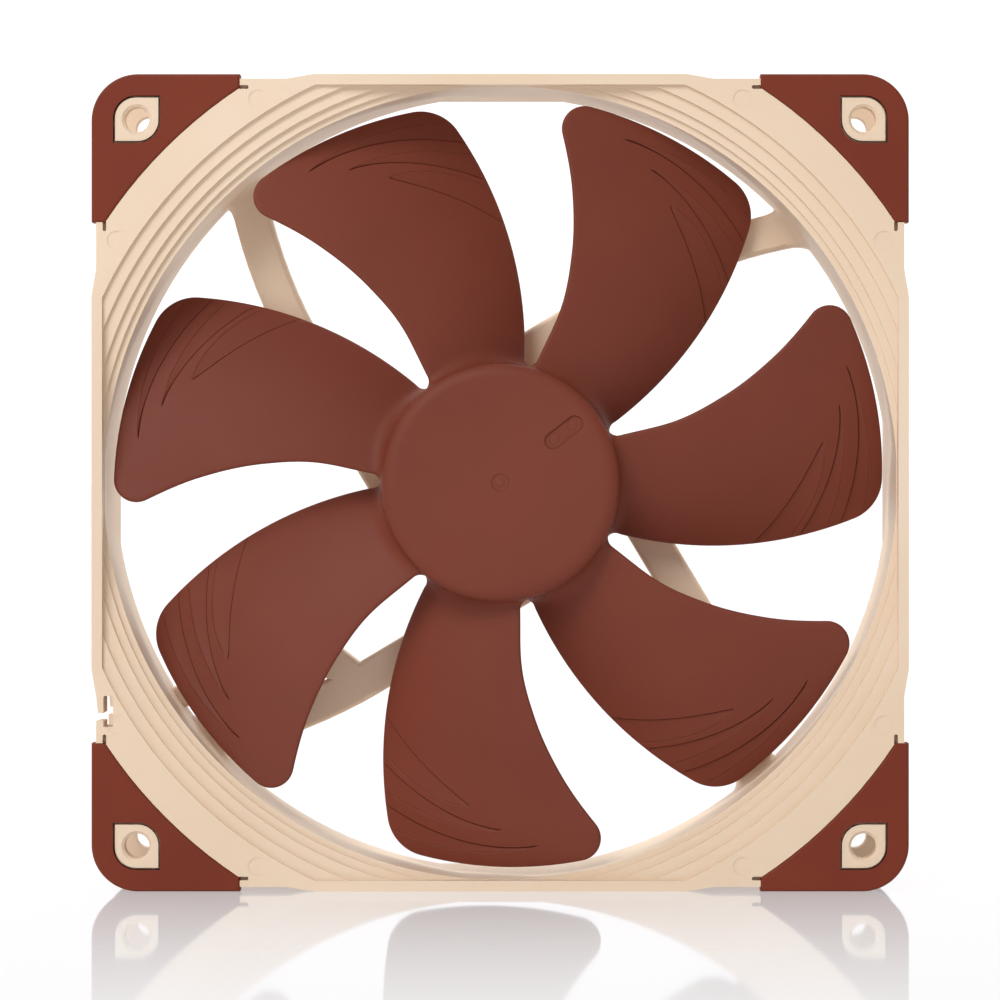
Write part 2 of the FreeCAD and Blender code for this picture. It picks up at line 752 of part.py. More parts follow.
def trail_angle(radius):
    out = min(radius, size("blade_tip")) - size("hub_radius")
    return TRAIL_EDGE[0] + TRAIL_EDGE[1] * out + TRAIL_EDGE[2] * out ** 2


def blade_depth(radius, chord_part):
    """Depth of the middle of the blade's thickness; chord_part runs from 0 at the leading edge to 1."""
    out = (radius - size("hub_radius")) / (size("blade_tip") - size("hub_radius"))
    lead = size("lead_root_depth") + out * (size("lead_tip_depth") - size("lead_root_depth"))
    trail = size("trail_root_depth") + out * (size("trail_tip_depth") - size("trail_root_depth"))
    bend = chord_part + size("blade_camber") * chord_part * (chord_part - 1)
    return lead + (trail - lead) * bend


def blade_thickness(radius, chord_part):
    """Thickest near the middle of the chord, with a fillet where the blade meets the hub."""
    out = (radius - size("hub_radius")) / (size("blade_tip") - size("hub_radius"))
    middle = size("blade_thick_root") + out * (size("blade_thick_tip") - size("blade_thick_root"))
    swell = 4 * chord_part * (1 - chord_part)
    fillet = size("blade_root_round")
    near = min(max(radius - size("hub_radius") + size("blade_root_sink"), 0.0), fillet)
    flare = fillet - math.sqrt(max(fillet ** 2 - (fillet - near) ** 2, 0.0))
    return size("blade_edge") + (middle - size("blade_edge")) * swell + 2 * flare


def blade_middle(radius, chord_part):
    """Point in the middle of the blade's thickness."""
    angle = lead_angle(radius) + chord_part * (trail_angle(radius) - lead_angle(radius))
    return polar(radius, angle, height_of(blade_depth(radius, chord_part)))


def blade_skin(radius, chord_part, side):
    """Point on the blade's front (side 1) or back (side -1), square to the middle surface."""
    step = 0.01
    along = blade_middle(radius + step, chord_part) - blade_middle(radius - step, chord_part)
    across = blade_middle(radius, chord_part - step) - blade_middle(radius, chord_part + step)
    normal = along.cross(across).normalize()
    return blade_middle(radius, chord_part) + normal * (side * blade_thickness(radius, chord_part) / 2)


def boundary(surface, along_radius, last):
    """Edge curve of a skin: along the radius at the first or last chord part, or the other way round."""
    u_low, u_high, v_low, v_high = surface.bounds()
    if along_radius:
        curve = surface.vIso(v_high if last else v_low)
    else:
        curve = surface.uIso(u_high if last else u_low)
    return curve.toShape()


def corner_circle(radius, edge_angle, side):
    """Centre of the circle that touches the tip and an edge, and the point where it touches the edge."""
    middle = size("blade_tip") - radius
    stations = [middle + radius * number / 50 for number in range(-50, 50)]
    edge = [polar(station, edge_angle(station)) for station in stations]
    low, high = 0.0, 40.0
    for _ in range(40):
        inward = (low + high) / 2
        centre = polar(middle, edge_angle(middle) - side * inward)
        touch = min(edge, key=centre.distanceToPoint)
        if centre.distanceToPoint(touch) < radius:
            low = inward
        else:
            high = inward
    return centre, touch


def corner_cutter(radius, edge_angle, side):
    """Tool that rounds a tip corner: what lies outside the circle that touches the tip and the edge.

    The leading edge is on side 1 of the blade, the trailing edge on side -1.
    """
    centre, touch = corner_circle(radius, edge_angle, side)
    past = size("corner_overshoot")
    reach = radius + past
    middle = centre.Length
    angle = math.degrees(math.atan2(centre.y, centre.x))
    corner = polar(size("blade_tip") + past, angle + side * math.degrees(reach / middle))
    past_edge = centre + (touch - centre) * (reach / radius)
    outline = [centre, polar(middle + reach, angle), corner, past_edge, centre]
    tall = size("fan_depth")
    block = Part.Face(Part.makePolygon(outline)).extrude(Vector(0, 0, 2 * tall))
    block = block.cut(Part.makeCylinder(radius, 2 * tall, centre))
    block.translate(Vector(0, 0, -tall))
    return block


def make_blade():
    """Blade at three o'clock: two curved skins joined at the edges, trimmed at the hub, tip and corners."""
    root = size("hub_radius")
    near_root = [root + step for step in (-3.0, -1.5, -0.5, 0.0, 0.5, 1.3, 3.5)]
    radii = near_root + [28, 34, 40, 46, 52, 58, 63, 66, 69]
    parts = [number / 8 for number in range(9)]
    skins = []
    for side in (1, -1):
        surface = Part.BSplineSurface()
        surface.interpolate([[blade_skin(radius, part, side) for part in parts] for radius in radii])
        skins.append(surface)
    faces = [surface.toShape() for surface in skins]
    for along_radius in (True, False):
        for last in (False, True):
            faces.append(Part.makeRuledSurface(*(boundary(skin, along_radius, last) for skin in skins)))
    shell = Part.makeShell(faces)
    shell.sewShape()
    blank = Part.makeSolid(shell)
    if blank.Volume < 0:
        blank.reverse()
    tall = size("fan_depth")
    keep = Part.makeCylinder(size("blade_tip"), 2 * tall, Vector(0, 0, -tall))
    keep = keep.cut(Part.makeCylinder(size("hub_radius") - 0.5, 2 * tall, Vector(0, 0, -tall)))
    blade = blank.common(keep)
    blade = blade.cut(corner_cutter(size("lead_corner"), lead_angle, 1))
    return blade.cut(corner_cutter(size("trail_corner"), trail_angle, -1))


def make_hub():
    """Hub cup: a turned profile with a boss for the shaft seat, a centre dimple and an oval recess."""
    outer, inner = size("hub_radius"), size("yoke_radius")
    front, back = height_of(size("hub_front_depth")), height_of(size("hub_back_depth"))
    inside = front - size("hub_face")
    boss = size("yoke_hole")
    boss_back = inside - size("yoke_wall")
    seat = size("seat_radius")
    seat_front = height_of(size("seat_front_depth"))
    rounding = size("hub_round")
    dimple = 0.9
    between_blades = (lead_angle(outer) + trail_angle(outer) + 360 / size("blade_count")) / 2
    points = [Vector(0, 0, seat_front), Vector(seat, 0, seat_front), Vector(seat, 0, boss_back),
              Vector(boss, 0, boss_back), Vector(boss, 0, inside), Vector(inner, 0, inside),
              Vector(inner, 0, back), Vector(outer, 0, back), Vector(outer, 0, front - rounding)]
    edges = [Part.LineSegment(low, high).toShape() for low, high in zip(points, points[1:])]
    bend_middle = Vector(outer - rounding, 0, front - rounding) + Vector(math.sin(math.pi / 4), 0,
                                                                         math.cos(math.pi / 4)) * rounding
    rim = Vector(outer - rounding, 0, front)
    edges.append(Part.Arc(points[-1], bend_middle, rim).toShape())
    edges.append(Part.LineSegment(rim, Vector(0, 0, front)).toShape())
    edges.append(Part.LineSegment(Vector(0, 0, front), points[0]).toShape())
    profile = Part.Face(Part.Wire(edges))
    profile.rotate(Vector(), Vector(0, 0, 1), between_blades)
    hub = profile.revolve(Vector(), Vector(0, 0, 1), 360)
    hub = hub.cut(Part.makeSphere(dimple, Vector(0, 0, front + dimple - 0.35)))
    recess_at = polar(13.9, 38.4, front - 0.35)
    half_length, half_width = 2.4, 1.1
    along = polar(1, 38.4)
    across = polar(1, 128.4)
    ends = [recess_at + along * (half_length * sign) for sign in (-1, 1)]
    slot = [Part.makeCylinder(half_width, 2, end) for end in ends]
    corners = [ends[0] - across * half_width, ends[1] - across * half_width, ends[1] + across * half_width,
               ends[0] + across * half_width, ends[0] - across * half_width]
    slot.append(Part.Face(Part.makePolygon(corners)).extrude(Vector(0, 0, 2)))
    return hub.cut(slot[0].multiFuse(slot[1:]))


def make_impeller():
    hub = make_hub()
    blade = make_blade()
    blades = []
    count = int(size("blade_count"))
    for number in range(count):
        copy = blade.copy()
        copy.rotate(Vector(), Vector(0, 0, 1), number * 360 / count)
        blades.append(copy)
    item = doc.addObject("Part::Feature", "impeller")
    item.Shape = hub.multiFuse(blades)
    return finish(item, "impeller")


# ---------------------------------------------------------------- rotor, bearing

def make_rotor_parts():
    front = "Sizes.hub_front_depth + Sizes.hub_face"
    cup = cylinder("yoke_cup", "Sizes.yoke_radius", front, "Sizes.yoke_back_depth")
    hollow = cylinder("yoke_hollow", "Sizes.yoke_radius - Sizes.yoke_wall", f"{front} + Sizes.yoke_wall",
                      "Sizes.yoke_back_depth")
    hole = cylinder("yoke_hole_tool", "Sizes.yoke_hole", front, f"{front} + Sizes.yoke_wall")
    finish(joined("Part::Cut", "yoke", joined("Part::Cut", "yoke_shell", cup, hollow), hole), "rotor_yoke")
    finish(ring("magnet", "Sizes.magnet_outer", "Sizes.magnet_inner", "Sizes.magnet_front_depth",
                "Sizes.yoke_back_depth"), "ring_magnet")
    seat_back = "Sizes.seat_back_depth"
    seat_solid = cylinder("seat_solid", "Sizes.seat_radius", "Sizes.seat_front_depth", seat_back)
    seat_bore = cylinder("seat_bore", "Sizes.shaft_radius", "Sizes.shaft_front_depth", seat_back)
    finish(joined("Part::Cut", "seat", seat_solid, seat_bore), "shaft_seat")
    finish(ring("washer", "Sizes.washer_outer", "Sizes.shaft_groove_radius + 0.1", "Sizes.washer_front_depth",
                "Sizes.washer_front_depth + Sizes.washer_thickness"), "retaining_washer")


def make_shaft():
    """Steel shaft with a clip groove and a domed end that runs on the thrust pad."""
    body = new_body("shaft_body")
    sketch = new_sketch(body, "shaft_profile", "0", "XZ_Plane")
    radius, groove = size("shaft_radius"), size("shaft_groove_radius")
    front, back = height_of(size("shaft_front_depth")), height_of(size("shaft_back_depth"))
    groove_front = height_of(size("washer_front_depth") - 0.1)
    groove_back = groove_front - size("shaft_groove_width")
    dome = 0.5
    points = [Vector(0, front), Vector(radius - 0.3, front), Vector(radius, front - 0.3),
              Vector(radius, groove_front), Vector(groove, groove_front), Vector(groove, groove_back),
              Vector(radius, groove_back), Vector(radius, back + dome)]
    for low, high in zip(points, points[1:]):
        sketch.addGeometry(Part.LineSegment(low, high), False)
    sphere = (radius ** 2 + dome ** 2) / (2 * dome)
    half = math.asin(radius / sphere) / 2
    middle = Vector(sphere * math.sin(half), back + sphere - sphere * math.cos(half))
    sketch.addGeometry(Part.Arc(points[-1], middle, Vector(0, back)), False)
    sketch.addGeometry(Part.LineSegment(Vector(0, back), points[0]), False)
    turned_part = body.newObject("PartDesign::Revolution", "shaft_turned")
    turned_part.Profile = sketch
    turned_part.ReferenceAxis = (sketch, ["V_Axis"])
    turned_part.Angle = 360
    doc.recompute()
    finish(body, "shaft")


def make_bearing():
    front, back = "Sizes.shell_front_depth", "Sizes.shell_back_depth"
    outer = cylinder("shell_outside", "Sizes.shell_outer", front, back)
    inner = cylinder("shell_inside", "Sizes.shell_inner", front, f"{back} - Sizes.shell_floor")
    finish(joined("Part::Cut", "shell", outer, inner), "bearing_shell")
    finish(ring("sleeve", "Sizes.shell_inner", "Sizes.shaft_radius + Sizes.sleeve_gap",
                "Sizes.sleeve_front_depth", "Sizes.sleeve_back_depth"), "bearing_sleeve")
    finish(ring("seal", "Sizes.shell_inner", "Sizes.seal_inner", "Sizes.seal_front_depth",
                "Sizes.sleeve_front_depth"), "oil_seal")
    finish(ring("lift_magnet", "Sizes.shell_inner", "Sizes.axial_magnet_inner", "Sizes.axial_magnet_front",
                "Sizes.thrust_front_depth"), "axial_magnet")
    finish(cylinder("thrust", "Sizes.shell_inner", "Sizes.thrust_front_depth", f"{back} - Sizes.shell_floor"),
           "thrust_pad")


# ---------------------------------------------------------------- stator and electronics

def pole_outline(width, inner, shoe_inner, shoe_outer, half_angle):
    """T-shaped pole: a tooth that runs out to a curved shoe."""
    half = width / 2
    foot = math.sqrt(inner ** 2 - half ** 2)
    neck = math.sqrt(shoe_inner ** 2 - half ** 2)
    neck_angle = math.degrees(math.asin(half / shoe_inner))
    edges = [Part.LineSegment(Vector(foot, -half), Vector(foot, half)),
             Part.LineSegment(Vector(foot, half), Vector(neck, half)),
             Part.LineSegment(Vector(neck, -half), Vector(foot, -half))]
    between = (neck_angle + half_angle) / 2
    for sign in (1, -1):
        under_shoe = [polar(shoe_inner, sign * degrees) for degrees in (neck_angle, between, half_angle)]
        edges.append(Part.Arc(*under_shoe))
        edges.append(Part.LineSegment(under_shoe[-1], polar(shoe_outer, sign * half_angle)))
    edges.append(Part.Arc(*(polar(shoe_outer, degrees) for degrees in (half_angle, 0, -half_angle))))
    return edges


def make_star(label, grow, depth_front, depth_back):
    """Ring with poles: the laminated core, or an insulator of nearly the same outline."""
    body = new_body(label + "_body")
    height = f"Sizes.fan_depth / 2 - ({depth_back})"
    length = f"({depth_back}) - ({depth_front})"
    sketch = new_sketch(body, label + "_ring", height)
    add_circle(sketch, f"Sizes.yoke_ring + {grow}")
    add_circle(sketch, "Sizes.shell_outer")
    add_pad(body, label + "_hub", sketch, length)
    sketch = new_sketch(body, label + "_pole_outline", height)
    shoe_outer = size("stator_radius") - 2 * grow
    shoe_inner = size("stator_radius") - size("shoe_thickness") - grow
    sketch.addGeometry(pole_outline(size("tooth_width") + 2 * grow, size("yoke_ring") - 0.6, shoe_inner,
                                    shoe_outer, size("shoe_half_angle") - 2), False)
    pole = add_pad(body, label + "_pole", sketch, length)
    add_polar(body, label + "_poles", [pole], int(size("tooth_count")))
    finish(body, label)


def make_coil(label, number):
    """Winding round one tooth: a rounded block with a window for the tooth and its insulation."""
    inner, outer = size("coil_inner"), size("coil_outer")
    half = size("coil_half_width")
    front = size("stator_front_depth") - size("insulator_thickness") - size("coil_overhang")
    back = size("stator_back_depth") + size("insulator_thickness") + size("coil_overhang")
    block = Part.makeBox(outer - inner, 2 * half, back - front, Vector(inner, -half, height_of(back)))
    along = [edge for edge in block.Edges if abs(edge.tangentAt(edge.FirstParameter).x) > 0.99]
    block = block.makeFillet(2.0, along)
    window_half = size("tooth_width") / 2 + 0.25
    window_front = size("stator_front_depth") - size("insulator_thickness")
    window_back = size("stator_back_depth") + size("insulator_thickness")
    window = Part.makeBox(outer, 2 * window_half, window_back - window_front,
                          Vector(inner - 1, -window_half, height_of(window_back)))
    item = doc.addObject("Part::Feature", label)
    item.Shape = block.cut(window)
    item.Placement = FreeCAD.Placement(Vector(), FreeCAD.Rotation(Vector(0, 0, 1), number * 90))
    finish(item, label)


def make_board():
    """Ring-shaped circuit board with holes for the winding pins."""
    body = new_body("board_body")
    back = "Sizes.board_front_depth + Sizes.board_thickness"
    sketch = new_sketch(body, "board_outline", f"Sizes.fan_depth / 2 - ({back})")
    add_circle(sketch, "Sizes.board_radius")
    add_circle(sketch, "Sizes.board_hole")
    add_pad(body, "board_plate", sketch, "Sizes.board_thickness")
    sketch = new_sketch(body, "pin_hole_outline", "Sizes.fan_depth / 2 - Sizes.board_front_depth")
    spot = Vector(size("pin_circle"), 0)
    turn = FreeCAD.Rotation(Vector(0, 0, 1), 45)
    spot = turn.multVec(spot)
    reach = f"Sizes.pin_circle * {math.sqrt(0.5)}"
    add_circle(sketch, "Sizes.pin_radius + 0.05", spot, (reach, reach))
    hole = add_pocket(body, "pin_hole", sketch, "Sizes.board_thickness")
    add_polar(body, "pin_holes", [hole], 4)
    finish(body, "circuit_board")


def make_block(label, centre, wide, tall, front_depth, back_depth, degrees=0.0):
    """Rectangular component on the board."""
    item = doc.addObject("Part::Box", label)
    item.Length = wide
    item.Width = tall
    item.setExpression("Height", f"({back_depth}) - ({front_depth})")
    turn = FreeCAD.Rotation(Vector(0, 0, 1), degrees)
    corner = centre - turn.multVec(Vector(wide / 2, tall / 2))
    item.Placement = FreeCAD.Placement(corner, turn)
    item.setExpression("Placement.Base.z", f"Sizes.fan_depth / 2 - ({back_depth})")
    return item


def make_electronics():
    back = "Sizes.board_front_depth + Sizes.board_thickness"
    chip = make_block("driver_block", polar(12.8, 100), 5.0, 4.0, back, f"{back} + 1.4", 10)
    finish(chip, "driver_chip")
    sensor = make_block("sensor_block", polar(17.0, 45), 1.4, 3.0, "Sizes.board_front_depth - 1.2",
                        "Sizes.board_front_depth", 45)
    finish(sensor, "hall_sensor")
    can = cylinder("capacitor_can", "2", back, f"{back} + 3")
    can.Placement.Base = polar(13.2, 200)
    finish(can, "capacitor")
    chips = []
    for degrees in (20, 55, 140, 300, 330):
        chips.append(Part.makeBox(2.0, 1.2, 0.6, Vector(-1.0, -0.6, 0)))
        chips[-1].rotate(Vector(), Vector(0, 0, 1), degrees + 90)
        chips[-1].translate(polar(14.0, degrees, height_of(size("board_front_depth")
                                                           + size("board_thickness") + 0.6)))
    item = doc.addObject("Part::Feature", "resistor_group")
    item.Shape = Part.makeCompound(chips)
    finish(item, "chip_resistors")
    pins = []
    start = size("stator_back_depth") + size("insulator_thickness")
    for quarter in range(4):
        base = polar(size("pin_circle"), 45 + 90 * quarter, height_of(start + size("pin_length")))
        pins.append(Part.makeCylinder(size("pin_radius"), size("pin_length"), base))
    item = doc.addObject("Part::Feature", "pin_group")
    item.Shape = Part.makeCompound(pins)
    finish(item, "winding_pins")


def make_stator():
    make_star("stator_core", 0.0, "Sizes.stator_front_depth", "Sizes.stator_back_depth")
    make_star("front_insulator", 0.2, "Sizes.stator_front_depth - Sizes.insulator_thickness",
              "Sizes.stator_front_depth")
    make_star("rear_insulator", 0.2, "Sizes.stator_back_depth",
              "Sizes.stator_back_depth + Sizes.insulator_thickness")
    for number, side in enumerate(("right", "top", "left", "bottom")):
        make_coil(f"coil_{side}", number)
    make_board()
    make_electronics()
    recess = "Sizes.fan_depth - Sizes.face_inset - Sizes.label_recess"
    label = cylinder("label_disc", "Sizes.label_radius", recess, f"{recess} + Sizes.label_thickness")
    finish(label, "rear_label")


# ---------------------------------------------------------------- build, check and write

make_frame()
for quarter, corner_name in enumerate(("top_right", "top_left", "bottom_left", "bottom_right")):
    make_corner_pad(f"front_pad_{corner_name}", quarter, rear=False)
    make_corner_pad(f"rear_pad_{corner_name}", quarter, rear=True)
make_impeller()
make_rotor_parts()
make_shaft()
make_bearing()
make_stator()
doc.recompute()

failed = [item.Name for item in doc.Objects if "Invalid" in item.State or "Error" in item.State]
if failed:
    raise RuntimeError(f"objects that failed: {failed}")
os.makedirs("parts", exist_ok=True)
for item in sub_parts:
    if item.Shape.isNull() or not item.Shape.isValid():
        raise RuntimeError(f"{item.Label} has a bad shape")
    item.Shape.exportStep(f"parts/{item.Label}.step")
    print(f"{item.Label}: {len(item.Shape.Solids)} solid(s), {item.Shape.Volume:.1f} mm3")
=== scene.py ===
"""Case fan, 140 mm: the looks.  Metres, +Z up, the intake faces -Y; angles are seen from the intake side."""
import json
import math

import bmesh
import bpy
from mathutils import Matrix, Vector
from mathutils.geometry import delaunay_2d_cdt


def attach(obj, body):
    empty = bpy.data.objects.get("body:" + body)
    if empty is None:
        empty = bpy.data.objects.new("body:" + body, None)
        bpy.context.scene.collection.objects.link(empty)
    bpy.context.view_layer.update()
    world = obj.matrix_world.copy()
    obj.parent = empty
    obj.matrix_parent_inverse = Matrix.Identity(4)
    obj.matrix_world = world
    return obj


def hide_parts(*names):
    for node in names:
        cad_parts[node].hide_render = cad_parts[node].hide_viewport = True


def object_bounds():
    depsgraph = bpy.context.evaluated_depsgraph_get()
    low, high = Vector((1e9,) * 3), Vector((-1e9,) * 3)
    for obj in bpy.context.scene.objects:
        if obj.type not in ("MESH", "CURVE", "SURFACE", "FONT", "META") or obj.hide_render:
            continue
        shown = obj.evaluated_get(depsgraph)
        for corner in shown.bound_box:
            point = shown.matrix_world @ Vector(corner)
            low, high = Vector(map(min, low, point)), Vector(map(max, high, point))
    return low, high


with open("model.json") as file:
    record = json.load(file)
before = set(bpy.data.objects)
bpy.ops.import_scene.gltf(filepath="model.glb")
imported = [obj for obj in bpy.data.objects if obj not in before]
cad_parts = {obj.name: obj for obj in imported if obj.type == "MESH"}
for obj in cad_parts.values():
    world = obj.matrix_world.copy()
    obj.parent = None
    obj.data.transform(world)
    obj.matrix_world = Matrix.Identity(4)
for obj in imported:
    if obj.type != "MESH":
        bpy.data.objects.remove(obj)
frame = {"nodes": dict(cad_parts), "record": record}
cad_box = [list(corner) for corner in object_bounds()]
nodes = frame["nodes"]
scene = bpy.context.scene

MM = 0.001
FAN_DEPTH = 25.0
# Steps of a search by halving; and the angle from which an edge between faces is shown sharp
HALVINGS = 40
SHARP_ANGLE = 38

# The impeller, in millimetres and degrees: the same curves as the CAD model's.  Depths are measured from the
# intake plane, heights from the middle of the fan's depth.
BLADES = 7
HUB_RADIUS = 20.5
TIP_RADIUS = 66.6
# Depths of the hub's face and rear end; the rim's rounding, outwards and backwards; the cup's depth, radius
HUB_FRONT, HUB_BACK = 1.5, 16.0
HUB_ROUND, HUB_DROP = 2.5, 1.6
HUB_INSIDE, HUB_INNER = 3.2, 19.1
# The leading edge as radii and angles; the trailing edge's angle as a polynomial of the way out from the hub
LEAD_EDGE = ((15.0, 24.6), (20.5, 22.2), (31.0, 19.5), (41.0, 21.2), (51.6, 24.7), (60.0, 28.1), (66.6, 30.9))
TRAIL_EDGE = (-24.15, 0.406, 0.00085)
# Each pair below: at the hub and at the tip
LEAD_DEPTH = (5.3, 2.8)
TRAIL_DEPTH = (13.6, 18.0)
THICKNESS = (1.9, 1.4)
EDGE_THICKNESS = 0.8
CAMBER = 0.3
# Face-on roundings at the tip and at the hub, and the radius where the outline starts
LEAD_CORNER, TRAIL_CORNER = 4.0, 7.5
ROOT_ROUND = 2.0
ROOT_START = HUB_RADIUS - 0.05
# Steps along the parts of a blade's outline
ROOT_STEPS, EDGE_STEPS, CORNER_STEPS, TIP_STEPS = 14, 60, 22, 44


# ---------------------------------------------------------------- blade surface

def curve_through(stations, position):
    """Smooth curve through (position, value) stations: a cubic between each pair, slopes from neighbours."""
    last = len(stations) - 1
    number = 0
    while number < last - 1 and position > stations[number + 1][0]:
        number += 1

    def slope(at):
        low, high = stations[max(at - 1, 0)], stations[min(at + 1, last)]
        return (high[1] - low[1]) / (high[0] - low[0])

    (x_low, y_low), (x_high, y_high) = stations[number], stations[number + 1]
    span = x_high - x_low
    part = (position - x_low) / span
    square, cube = part ** 2, part ** 3
    return ((2 * cube - 3 * square + 1) * y_low + (cube - 2 * square + part) * span * slope(number)
            + (3 * square - 2 * cube) * y_high + (cube - square) * span * slope(number + 1))


def lead_angle(radius):
    return curve_through(LEAD_EDGE, min(radius, TIP_RADIUS))


def trail_angle(radius):
    out = min(radius, TIP_RADIUS) - HUB_RADIUS
    return TRAIL_EDGE[0] + TRAIL_EDGE[1] * out + TRAIL_EDGE[2] * out ** 2


def flat(radius, degrees):
    """Face-on point at this radius and angle: x to the right and y up."""
    angle = math.radians(degrees)
    return Vector((radius * math.cos(angle), radius * math.sin(angle)))


def polar_of(point):
    return point.length, math.degrees(math.atan2(point.y, point.x))


def chord_part(radius, degrees):
    """Share of the way from the leading edge, 0, to the trailing edge, 1."""
    lead = lead_angle(radius)
    return (degrees - lead) / (trail_angle(radius) - lead)


def blade_depth(radius, part):
    """Depth of the blade's middle surface behind the intake plane."""
    out = (radius - HUB_RADIUS) / (TIP_RADIUS - HUB_RADIUS)
    lead = LEAD_DEPTH[0] + out * (LEAD_DEPTH[1] - LEAD_DEPTH[0])
    trail = TRAIL_DEPTH[0] + out * (TRAIL_DEPTH[1] - TRAIL_DEPTH[0])
    return lead + (trail - lead) * (part + CAMBER * part * (part - 1))


def middle_point(point):
    """Point of the blade's middle surface at a face-on point; z is the height towards the intake."""
    radius, degrees = polar_of(point)
    return Vector((point.x, point.y, FAN_DEPTH / 2 - blade_depth(radius, chord_part(radius, degrees))))


def middle_normal(point):
    """Direction square to the blade's middle surface there, towards the intake."""
    step = 0.05
    along = middle_point(point + Vector((step, 0))) - middle_point(point - Vector((step, 0)))
    across = middle_point(point + Vector((0, step))) - middle_point(point - Vector((0, step)))
    return along.cross(across).normalized()


# ---------------------------------------------------------------- blade outline

def corner_circle(radius, edge_angle, side):
    """Centre of the circle that touches the tip and an edge, and the point where it touches the edge."""
    middle = TIP_RADIUS - radius
    stations = [middle + radius * number / 50 for number in range(-50, 50)]
    edge = [flat(station, edge_angle(station)) for station in stations]
    low, high = 0.0, 40.0
    for _ in range(HALVINGS):
        inward = (low + high) / 2
        centre = flat(middle, edge_angle(middle) - side * inward)
        touch = min(edge, key=lambda spot: (spot - centre).length)
        if (centre - touch).length < radius:
            low = inward
        else:
            high = inward
    return centre, touch


def root_circle(edge_angle, side):
    """Centre of the fillet circle that touches the hub and an edge from outside, and where it touches."""
    middle = HUB_RADIUS + ROOT_ROUND
    stations = [HUB_RADIUS + 3 * ROOT_ROUND * number / 100 for number in range(100)]
    edge = [flat(station, edge_angle(station)) for station in stations]
    low, high = 0.0, 20.0
    for _ in range(HALVINGS):
        outward = (low + high) / 2
        centre = flat(middle, edge_angle(middle) + side * outward)
        touch = min(edge, key=lambda spot: (spot - centre).length)
        if (centre - touch).length < ROOT_ROUND:
            low = outward
        else:
            high = outward
    return centre, touch


def arc(centre, start, end, steps):
    """Points of the shorter arc from start to end, both included."""
    low = math.atan2(start.y - centre.y, start.x - centre.x)
    turn = (math.atan2(end.y - centre.y, end.x - centre.x) - low + math.pi) % (2 * math.pi) - math.pi
    radius = (start - centre).length
    return [centre + radius * Vector((math.cos(low + turn * n / steps), math.sin(low + turn * n / steps)))
            for n in range(steps + 1)]


def edge_points(edge_angle, low, high, steps):
    """Points along an edge of the blade between two radii, both included."""
    radii = [low + (high - low) * n / steps for n in range(steps + 1)]
    return [flat(radius, edge_angle(radius)) for radius in radii]


def blade_outline():
    """Face-on outline of the visible edges, anticlockwise from the trailing root to the leading root."""
    trail_root, trail_foot = root_circle(trail_angle, -1)
    lead_root, lead_foot = root_circle(lead_angle, 1)
    trail_round, trail_touch = corner_circle(TRAIL_CORNER, trail_angle, -1)
    lead_round, lead_touch = corner_circle(LEAD_CORNER, lead_angle, 1)
    points = arc(trail_root, trail_root.normalized() * ROOT_START, trail_foot, ROOT_STEPS)
    points += edge_points(trail_angle, trail_foot.length, trail_touch.length, EDGE_STEPS)[1:]
    tip_low, tip_high = trail_round.normalized() * TIP_RADIUS, lead_round.normalized() * TIP_RADIUS
    points += arc(trail_round, trail_touch, tip_low, CORNER_STEPS)[1:]
    points += arc(Vector((0, 0)), tip_low, tip_high, TIP_STEPS)[1:]
    points += arc(lead_round, tip_high, lead_touch, CORNER_STEPS)[1:]
    points += edge_points(lead_angle, lead_touch.length, lead_foot.length, EDGE_STEPS)[1:]
    points += arc(lead_root, lead_foot, lead_root.normalized() * ROOT_START, ROOT_STEPS)[1:]
    return points


# ---------------------------------------------------------------- flow channels on the blades

# Per channel an inner and an outer line, each with three polar points: the apex, half way and the end at the
# trailing edge
CHANNELS = (
    (((56.3, 7.6), (52.3, 0.8), (45.0, -13.8)), ((56.3, 7.6), (55.2, -0.6), (50.9, -11.3))),
    (((60.0, 13.3), (58.0, 4.2), (52.7, -10.4)), ((60.0, 13.3), (59.6, 3.4), (57.2, -8.4))),
    (((62.9, 19.1), (62.6, 8.0), (59.6, -7.2)), ((62.9, 19.1), (64.2, 8.0), (63.4, -5.4))),
)
CHANNELS_FROM = 42.0
CHANNEL_DEPTH = 0.3
# Width of the step at the inner line, and how the floor rises from there to the outer line
STEP_WIDTH, RISE_POWER = 0.14, 0.8
# The line itself is a narrow groove, shallower on the outer side and faded in from the apex
GROOVE_HALF, GROOVE_DEPTH = 0.12, 0.5
OUTER_SHARE, APEX_FADE = 0.2, 16


def bowed_line(stations, steps=60):
    """Smooth line through three polar points, as face-on points."""
    (r0, a0), (r1, a1), (r2, a2) = stations
    points = []
    for number in range(steps + 1):
        t = number / steps
        weights = ((1 - t) * (1 - 2 * t), 4 * t * (1 - t), t * (2 * t - 1))
        radius = weights[0] * r0 + weights[1] * r1 + weights[2] * r2
        degrees = weights[0] * a0 + weights[1] * a1 + weights[2] * a2
        points.append(flat(radius, degrees))
    return points


channel_lines = [(bowed_line(inner), bowed_line(outer)) for inner, outer in CHANNELS]


def nearest_on(line, point):
    """Share along a polyline and signed distance from it; positive is on the left of its direction."""
    best = (1e9, 0.0, 0.0)
    for number, (low, high) in enumerate(zip(line, line[1:])):
        along = high - low
        t = max(0.0, min(1.0, (point - low).dot(along) / along.length_squared))
        away = point - (low + along * t)
        if away.length < best[0]:
            side = along.x * away.y - along.y * away.x
            best = (away.length, (number + t) / (len(line) - 1), math.copysign(away.length, side))
    return best[1], best[2]


def smooth(value):
    """Smooth step: 0 up to 0, 1 from 1 on."""
    value = max(0.0, min(1.0, value))
    return value * value * (3 - 2 * value)


